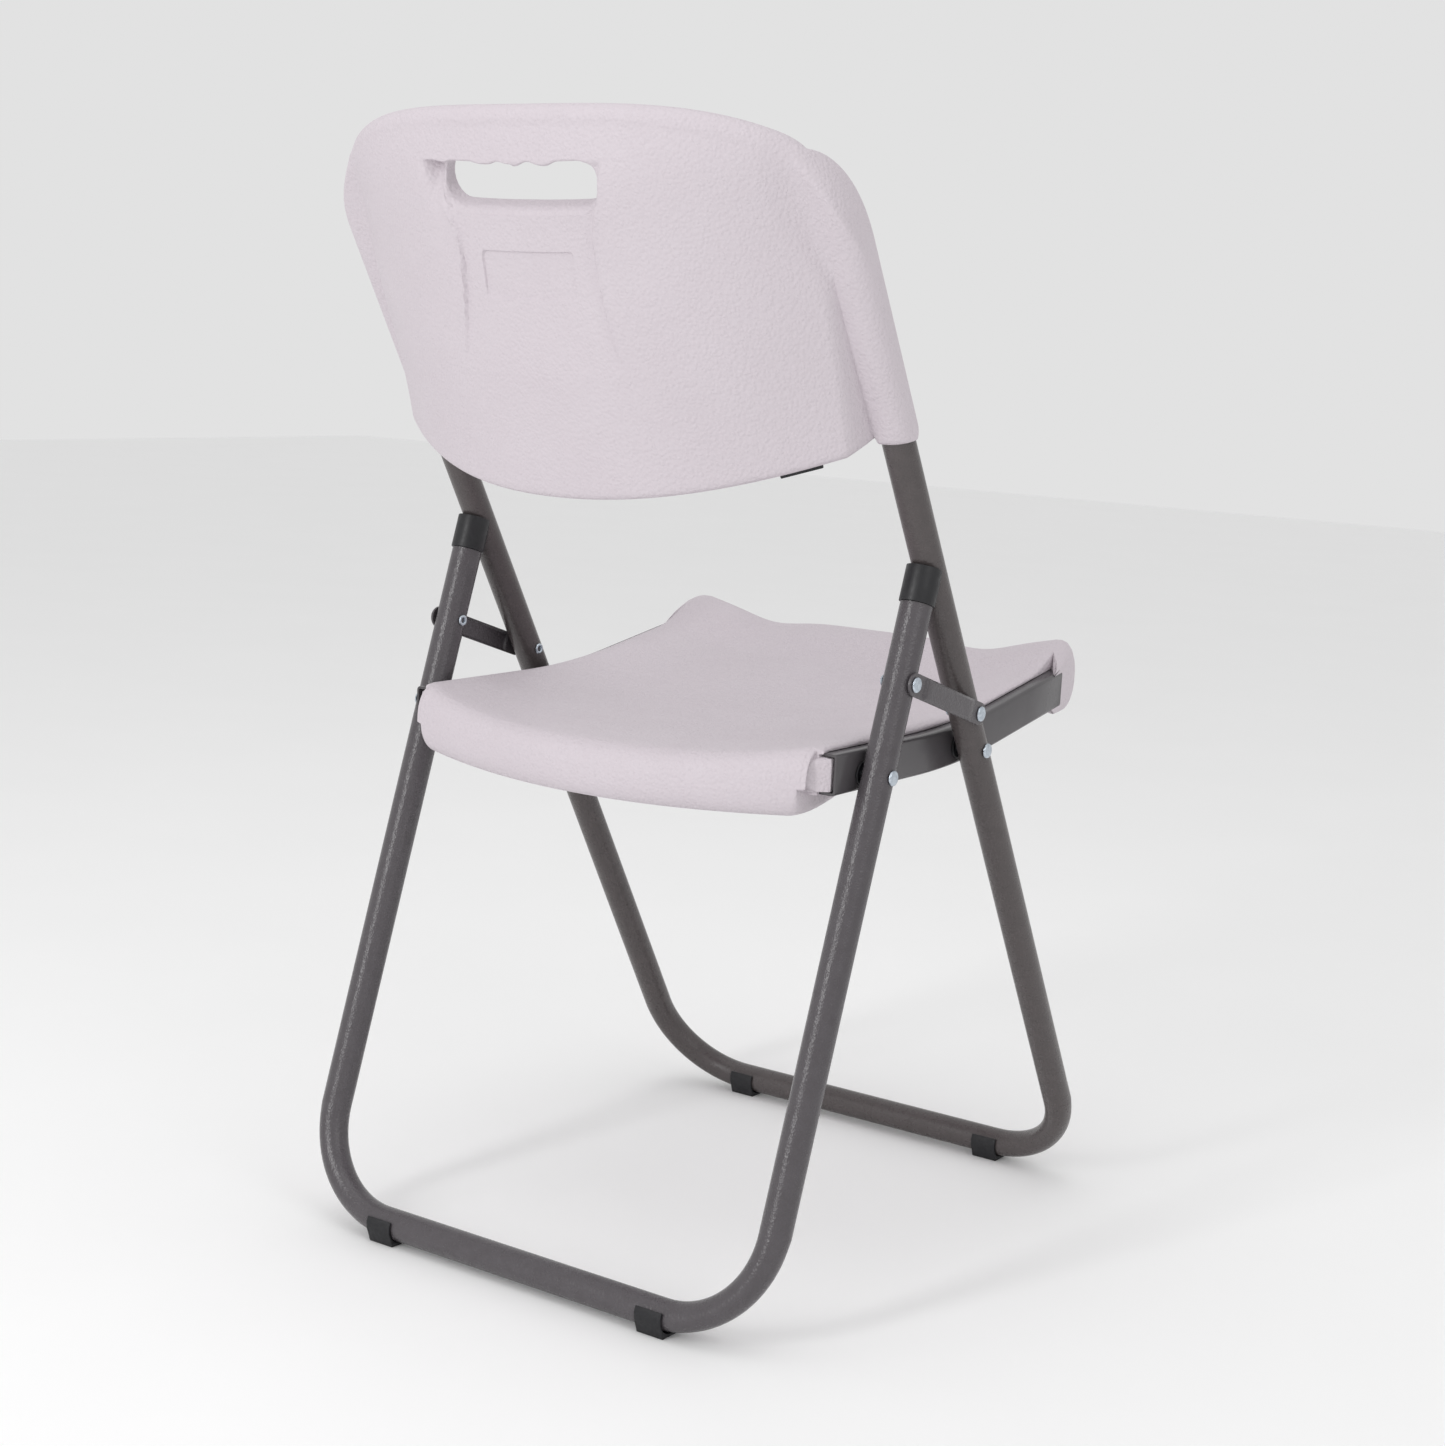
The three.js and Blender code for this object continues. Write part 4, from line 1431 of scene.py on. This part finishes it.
    def _rings(self) -> list[Ring]:
        """Place closed sections from the nose to the rear skirt.

        Returns:
            The sections, each with the same number of points.
        """
        rings = []
        front, rear = self.front_edge(200.0), self.rear_edge(200.0)
        insets = [0, 0.15, 0.5, 1.1, 2, 3.2, 4.8, 6.8, 9.2, 12, 15.5, 19.5, 24]
        ys = [front + i for i in insets if front + i < PLAN.rail_front - 1.5]
        ys += [PLAN.rail_front + step for step in (-1.0, -0.35, 0.15, 1.5)]
        ys += list(np.linspace(PLAN.rail_front + 8, PLAN.rail_rear - 8, 46))
        ys += [PLAN.rail_rear + step for step in (-1.5, 0.1, 0.5, 3)]
        ys += [rear - i for i in insets[::-1] if rear - i > PLAN.rail_rear + 4]
        for y in sorted(ys):
            run = (y - front) / (rear - front)
            half = []
            for x, z, upper in self._half_ring(y):
                start, end = self.front_edge(x), self.rear_edge(x)
                at = start + (end - start) * run
                if not upper:
                    z += self.under(x, at) - self.under(x, y)
                elif z > PLAN.rail_height(y) + PLAN.rail_h / 2 + 0.6:
                    z += self.top(min(x, 191.0), at) - self.top(min(x, 191.0), y)
                else:
                    z += PLAN.rail_height(at) - PLAN.rail_height(y)
                half.append((x, at, self._squash(x, at, z, at - start, end - at)))
            left = [(x, yy + PLAN.middle_y, z) for x, yy, z in half]
            right = [(-x, yy + PLAN.middle_y, z) for x, yy, z in half[1:-1]][::-1]
            rings.append(left + right)
        return rings

    def _squash(self, x: float, y: float, z: float, from_front: float, from_rear: float) -> float:
        """Roll a point over at the nose and at the rear skirt.

        Args:
            x: the point's distance from the middle plane.
            y: its distance behind the middle of the floor.
            z: its height before it is rolled.
            from_front: its distance from the front outline.
            from_rear: its distance from the rear outline.

        Returns:
            Its height.
        """
        top, under = self.top(x, y), self.under(x, y)
        middle = under + (top - under) * (0.42 if from_rear < from_front else 0.5)
        if from_rear < from_front:
            share = rounded(from_rear, 24.0, 2.6) if z > middle else rounded(from_rear, 12.0, 2.2)
        else:
            share = rounded(from_front, 20.0, 2.3)
        return middle + (z - middle) * share


# ---------------------------------------------------------------- backrest


@dataclass
class Backrest(Assembly):
    """Blow-moulded back: a curved panel between two tube pockets, with a hand hole."""

    half: float = 239.5
    bottom: float = 772.0
    pocket_bottom: float = 765.0
    shoulder: float = 874.0
    arch: float = 167.0
    power: float = 2.93
    wall: float = 20.0
    rim: float = 10.0
    panel_half: float = 209.0
    pocket_edge: float = 213.5
    pocket_r: float = 16.5
    edge_radius: float = 2.6
    hole_half: float = 71.0
    hole_low: float = 977.0
    hole_high: float = 1008.0
    finger_pitch: float = 27.0
    tooth: float = 3.6
    label: tuple[float, float, float] = (42.0, 915.0, 947.0)
    label_corner: float = 4.0
    label_depth: float = 1.6
    spine_knots: Knots = (
        (765, 132), (820, 116.5), (875, 102), (934, 84.5),
        (958, 78), (996, 68), (1020, 57), (1055, 36),
    )

    def build(self) -> None:
        """Mould the back and fix it with its screws and bumpers."""
        panel = self._carved(self._blank())
        MeshShop.shaded(panel.data, 44.0)
        self.fix(panel, "frame", PLASTIC, "moulded_plastic", "backrest")
        for side in Side:
            screw, bumper = f"back_screw_{side.word}", f"back_bumper_{side.word}"
            self.fix_copy(screw, "_zinc", 0.3, "frame", ZINC, "zinc")
            self.fix_copy(bumper, "_rubber", 0.9, "frame", RUBBER, "foot_rubber")

    def spine(self, along: float) -> float:
        """Depth of the rear face on the middle plane."""
        return interpolate(self.spine_knots, along)

    def panel_depth(self, x: float, along: float) -> float:
        """Read the depth of the panel's rear face, which curves forward towards the tubes.

        Args:
            x: distance from the middle plane.
            along: length up the front lean.

        Returns:
            The depth.
        """
        out = min(abs(x), self.panel_half) / 233.0
        low, high = 107.0 * out**2.14, 73.0 * out**2.5
        up = smoothstep(0, 1, (along - self.bottom) / (self.shoulder + self.arch - self.bottom))
        return self.spine(along) - low - (high - low) * up

    def faces(self, x: float, along: float) -> tuple[float, float]:
        """Read the front and rear depths at a point, before the rim is rolled.

        Args:
            x: distance from the middle plane.
            along: length up the front lean.

        Returns:
            The front depth and the rear depth.
        """
        out = abs(x)
        bulge = math.sqrt(max(self.pocket_r**2 - (out - PLAN.tube_x) ** 2, 0.0))
        pocket = (-bulge, self.pocket_r if out < PLAN.tube_x else bulge)
        melt = smoothstep(890.0, 965.0, along)
        start, end = self.panel_half - 26.0 * melt, self.pocket_edge + 9.0 * melt
        if out >= end:
            return pocket
        rear = max(self.panel_depth(x, along), self.pocket_r)
        inner = min(out, self.panel_half - 1)
        slope = self.panel_depth(inner, along) - self.panel_depth(inner + 1, along)
        front = rear - self.wall * math.hypot(1, slope)
        step = smoothstep(start, end, out)
        if out > PLAN.tube_x - self.pocket_r:
            front = min(front, pocket[0])
        return front + (pocket[0] - front) * step, rear + (pocket[1] - rear) * step

    def top(self, x: float) -> float:
        """Outline of the arched top."""
        u = min(abs(x) / self.half, 1.0)
        return self.shoulder + self.arch * (1 - u**self.power) ** (1 / self.power)

    def _point(self, x: float, share: float, rear: bool) -> Point:
        """Place a point of the blank.

        Args:
            x: distance from the middle plane.
            share: share of the way up its column.
            rear: whether it lies on the rear face.

        Returns:
            The point.
        """
        top = self.top(x)
        bottom = self.bottom if abs(x) < self.pocket_edge else self.pocket_bottom
        along = bottom + (top - bottom) * share
        front_depth, rear_depth = self.faces(x, min(along, top - self.rim))
        middle = (front_depth + rear_depth) / 2
        low = 0.35 + 0.65 * rounded(along - bottom, 7.0)
        high = rounded(top - along, self.rim * 1.1) if abs(x) < self.half else 1.0
        depth = (rear_depth if rear else front_depth) - middle
        sink = self._pressed(x, along) if rear else 0.0
        return PLAN.front(x, along, middle + depth * min(low, high) - sink)

    def _blank(self) -> bpy.types.Object:
        """Loft the closed panel before its holes are cut.

        Returns:
            The panel, lofted from side to side.
        """
        edge = self.label[0]
        inner = list(np.linspace(0, edge - 2, 21))
        inner += [edge + step for step in (-1.2, -0.5, 0, 0.5, 1.2)]
        inner += list(np.linspace(edge + 2, 104, 41)) + list(np.linspace(107, 221, 46))
        outer = [PLAN.tube_x + self.pocket_r * math.sin(math.pi / 2 * i / 14) for i in range(15)]
        half = inner + outer
        xs = [-x for x in half[:0:-1]] + half
        span = self.shoulder + self.arch - self.bottom
        low, high = self.label[1] - self.bottom, self.label[2] - self.bottom
        ups = [0, 0.3, 0.8, 1.6, 2.8, 4.4, 6.4, 8.8] + list(np.linspace(12, 88, 26))
        close = (-1.1, -0.5, 0, 0.5, 1.1)
        ups += [*np.linspace(90.5, low - 2, 22), *(low + step for step in close)]
        ups += [*np.linspace(low + 2.2, high - 2.2, 12), *(high + step for step in close)]
        ups += [*np.linspace(high + 2.2, 228, 24), *np.linspace(229.5, 246, 14)]
        ups += range(248, 262, 2)
        ups += [261.8, 263.4, 264.8, 266, 267, 267.8, 268.4, 268.8, span]
        shares = [u / span for u in ups]
        rings = []
        for x in xs:
            front = [self._point(x, s, False) for s in shares]
            rear = [self._point(x, s, True) for s in shares][::-1]
            rings.append(front + rear)
        return MeshShop.loft("back_blank", rings, capped=True, crease=60.0)

    def _hole_outline(self) -> list[tuple[float, float, float, float]]:
        """Draw the hand hole with rounded teeth between the fingers.

        Returns:
            x and the length up the lean, then the way out of the hole, for each point.
        """
        low, high, half = self.hole_low, self.hole_high, self.hole_half
        r = (high - low) / 2
        reach = half - r
        points = []
        for i in range(13):
            a = -math.pi / 2 + math.pi * i / 12
            out, up = math.cos(a), math.sin(a)
            points.append((reach + r * out, low + r + r * up, out, up))
        for i in range(1, 72):
            x = reach * (1 - 2 * i / 72)
            toothed = abs(x) < 1.5 * self.finger_pitch
            tooth = math.cos(2 * math.pi * x / self.finger_pitch) if toothed else -1.0
            points.append((x, high - self.tooth * (0.5 + 0.5 * tooth), 0.0, 1.0))
        for i in range(13):
            a = math.pi / 2 + math.pi * i / 12
            out, up = math.cos(a), math.sin(a)
            points.append((-reach + r * out, low + r + r * up, out, up))
        for i in range(1, 24):
            points.append((reach * (i / 12 - 1), low, 0.0, -1.0))
        return points

    def _hole_cutter(self) -> bpy.types.Object:
        """Make a plug for the hand hole whose flared ends leave rounded edges.

        Returns:
            The plug.
        """
        flare = [math.radians(a) for a in (76, 60, 45, 30, 15, 0)]
        rings = []
        for rear in (True, False):
            made = []
            for k, angle in enumerate([None, *flare]):
                ring = []
                for x, along, nx, ns in self._hole_outline():
                    r = self.edge_radius * (1 + (1.5 * max(-ns, 0.0) if rear else 0.0))
                    spread = r * (1 - math.cos(flare[0] if angle is None else angle))
                    spread += 1.2 if angle is None else 0.0
                    px, ps = x + nx * spread, along + ns * spread
                    front_depth, rear_depth = self.faces(px, ps)
                    sink = self._pressed(px, ps)
                    lift = 10.0 if angle is None else -r * (1 - math.sin(angle))
                    face = rear_depth - sink + lift if rear else front_depth - lift
                    ring.append(PLAN.front(px, ps, face))
                made.append(ring)
            rings += made if rear else made[::-1]
        return MeshShop.loft("hole_cutter", rings, crease=30.0)

    def _carved(self, blank: bpy.types.Object) -> bpy.types.Object:
        """Cut the hand hole and the tube bores out of the blank.

        Args:
            blank: the closed panel. It is removed.

        Returns:
            The panel as a plain mesh.
        """
        cutters = [self._hole_cutter()]
        mouth = ((-30.0, 2.2), (0.0, 1.6), (1.5, 0.7), (4.0, 0.35))
        for side in Side:
            rings = [self._bore_ring(side, self.pocket_bottom + up, slack) for up, slack in mouth]
            rings.append(self._bore_ring(side, PLAN.front_top + 1.0, PLAN.gap))
            cutters.append(MeshShop.loft(f"bore_cutter_{side.word}", rings, crease=30.0))
        for cutter in cutters:
            cut = blank.modifiers.new("cut", "BOOLEAN")
            cut.operation = "DIFFERENCE"
            cut.solver = "EXACT"
            cut.object = cutter
        panel = MeshShop.baked(blank, "back_moulding")
        for cutter in cutters:
            bpy.data.objects.remove(cutter)
        return panel

    def _bore_ring(self, side: Side, along: float, slack: float) -> Ring:
        """Make one round section of a tube bore.

        Args:
            side: the side that the bore is on.
            along: length up the front lean.
            slack: how much wider than the tube it is, on the radius.

        Returns:
            The section's points.
        """
        x, radius = side.value * PLAN.tube_x, PLAN.tube_r + slack
        turn = [2 * math.pi * i / 48 for i in range(48)]
        return [PLAN.front(x + radius * math.cos(a), along, radius * math.sin(a)) for a in turn]

    def _pressed(self, x: float, along: float) -> float:
        """Read how far the rear face is pressed in.

        Args:
            x: distance to the sitter's left.
            along: length up the front lean.

        Returns:
            The depth of everything pressed into the face there.
        """
        if abs(x) > 108 or along < 850 or along > 1020:
            return 0.0
        return self._recess(x, along) + self._label(x, along)

    def _recess(self, x: float, along: float) -> float:
        """Read the hollow round the hand hole, which is wider on the sitter's left.

        Args:
            x: distance to the sitter's left.
            along: length up the front lean.

        Returns:
            The hollow's depth, less the low ridge along its edge.
        """
        if along > self.hole_high + 6.0 or along < 858.0:
            return 0.0
        flare = 1.0 if x > 0 else 0.0
        wide, wider = 69 + 4 * flare, 75 + 13 * flare
        edges = (858, 78), (875, 71), (899, 66), (934, 61.8), (958, 62), (985, wide), (1008, wider)
        edge = interpolate(edges, along)
        deep, deeper = 3.4 + 1.2 * flare, 3.0 + 3.5 * flare
        depths = (862, 0), (885, 1.4), (920, 3.0), (955, 3.6), (985, deep), (1003, deeper)
        depth = interpolate(depths, along)
        softer, softest = 2.2 + 2.8 * flare, 2.8 + 6.2 * flare
        soft = interpolate(((860, 1.2), (950, 1.8), (985, softer), (1008, softest)), along)
        upper = 1 - smoothstep(self.hole_high - 5.0, self.hole_high + 0.5, along)
        trough = 7.0 * flare * math.exp(-(((x - 79.0) / 6.5) ** 2))
        trough *= smoothstep(964.0, 998.0, along)
        ridge = 0.7 * math.exp(-(((abs(x) - edge - soft) / 1.2) ** 2))
        ridge *= smoothstep(862.0, 885.0, along) * (1 - smoothstep(968.0, 982.0, along))
        return (depth * (1 - smoothstep(edge - soft, edge + soft, abs(x))) + trough) * upper - ridge

    def _label(self, x: float, along: float) -> float:
        """Read the plain rectangular recess under the hand hole.

        Args:
            x: distance to the sitter's left.
            along: length up the front lean.

        Returns:
            The recess's depth.
        """
        half, low, high = self.label
        r = self.label_corner
        dx = abs(x) - (half - r)
        ds = abs(along - (low + high) / 2) - ((high - low) / 2 - r)
        outside = math.hypot(max(dx, 0.0), max(ds, 0.0)) + min(max(dx, ds), 0.0) - r
        return self.label_depth * (1 - smoothstep(-0.6, 0.6, outside))


# ---------------------------------------------------------------- caps and feet


@dataclass
class Trim(Assembly):
    """Black end caps of the rear legs and the clip-on feet."""

    def build(self) -> None:
        """Make the caps and the feet."""
        for side in Side:
            cap = f"rear_cap_{side.word}"
            self.fix_copy(cap, "_moulded", 1.1, "rear_legs", BLACK_PLASTIC, "black_plastic")
            for place, body in (("front", "frame"), ("rear", "rear_legs")):
                foot = f"{place}_foot_{side.word}"
                self.fix_copy(foot, "_rubber", 0.7, body, RUBBER, "foot_rubber")


# ---------------------------------------------------------------- studio


@dataclass
class Studio:
    """Pale floor, soft light and the camera.

    Attributes:
        camera_at: the camera's place in millimetres, from the middle of the floor.
        forward: the way that it looks.
        rightward: the way to the right of its picture.
        upward: the way to the top of its picture.
        sensor: width of its sensor in millimetres.
        lens: its focal length in millimetres.
        shift: how far its picture is shifted, as shares of the sensor's width.
        floor_half: half the width of the floor in millimetres.
        sky_strength: brightness of the surroundings.
    """

    camera_at: Point = (-1114.43, 1617.22, 747.465)
    forward: Point = (0.544928, -0.813701, -0.202346)
    rightward: Point = (-0.824306, -0.564070, 0.048418)
    upward: Point = (0.153535, -0.140411, 0.978116)
    sensor: float = 36.0
    lens: float = 58.6795
    shift: tuple[float, float] = (-0.024191, 0.064882)
    floor_half: float = 9000.0
    sky_strength: float = 0.76

    def build(self) -> None:
        """Set up the floor, the lights and the camera."""
        self._floor()
        self._sky()
        self._softbox("strip_softbox", (0.45, 2.6, 1.5), 0.4, 2.0, 23.0)
        self._softbox("key_softbox", (-2.6, 1.0, 2.0), 1.2, 1.6, 8.0)
        self._softbox("top_softbox", (0.1, 0.5, 2.9), 1.8, 1.8, 9.0)
        self._camera()

    def _floor(self) -> None:
        """A wide pale floor."""
        finish = Finish(
            "studio_floor",
            colour=(0.95, 0.95, 0.95),
            mottle=(0.94, 0.94, 0.94),
            roughness=0.7,
            spread=0.05,
            grain=4.0,
            relief=0.02,
            mottle_size=300.0,
        )
        corners = ((-1, -1), (1, -1), (1, 1), (-1, 1))
        points = [(x * self.floor_half, y * self.floor_half, 0) for x, y in corners]
        floor = MeshShop.piece("studio_floor", points, [[0, 1, 2, 3]])
        floor.data.materials.append(finish.material())

    def _sky(self) -> None:
        """Even white surroundings."""
        world = bpy.data.worlds.new("studio")
        world.use_nodes = True
        background = world.node_tree.nodes["Background"].inputs
        background["Color"].default_value = (1.0, 1.0, 1.0, 1.0)
        background["Strength"].default_value = self.sky_strength
        bpy.context.scene.world = world
        bpy.context.scene.view_settings.view_transform = "Standard"

    def _softbox(self, name: str, at: Point, wide: float, tall: float, power: float) -> None:
        """Add an area light that faces the chair.

        Args:
            name: the light's name.
            at: its place in metres.
            wide: its width in metres.
            tall: its height in metres.
            power: its power in watts.
        """
        data = bpy.data.lights.new(name, "AREA")
        data.shape = "RECTANGLE"
        data.size, data.size_y = wide, tall
        data.energy = power
        light = linked(name, data)
        light.location = at
        aim = Vector((0, 0, 0.5)) - Vector(at)
        light.rotation_euler = aim.to_track_quat("-Z", "Y").to_euler()

    def _camera(self) -> None:
        """Place the camera with its lens and a small shift."""
        data = bpy.data.cameras.new("camera")
        camera = linked("camera", data)
        axes = [Vector(self.rightward), Vector(self.upward), -Vector(self.forward)]
        turn = Matrix(axes).transposed().to_4x4()
        at = Vector(self.camera_at) * MM
        at.y += PLAN.middle_y * MM
        camera.matrix_world = Matrix.Translation(at) @ turn
        data.sensor_width = self.sensor
        data.lens = self.lens
        data.shift_x, data.shift_y = self.shift
        data.clip_start, data.clip_end = 0.05, 60.0
        bpy.context.scene.camera = camera


def main() -> None:
    """Build the chair, then the studio."""
    logging.basicConfig(level=logging.INFO, format="%(name)s: %(message)s")
    tube = TubeRecipe()
    fastener = FastenerRecipe()
    TubeFrame("front_frame", "frame", PLAN.front, PLAN.front_top, FRONT_PAINT, tube).build()
    TubeFrame("rear_frame", "rear_legs", PLAN.rear, PLAN.rear_top, FRAME_PAINT, tube).build()
    Backrest().build()
    Seat().build()
    SeatRails().build()
    Links().build()
    Rivets(fastener).build()
    Trim().build()
    Studio().build()


if __name__ == "__main__":
    main()
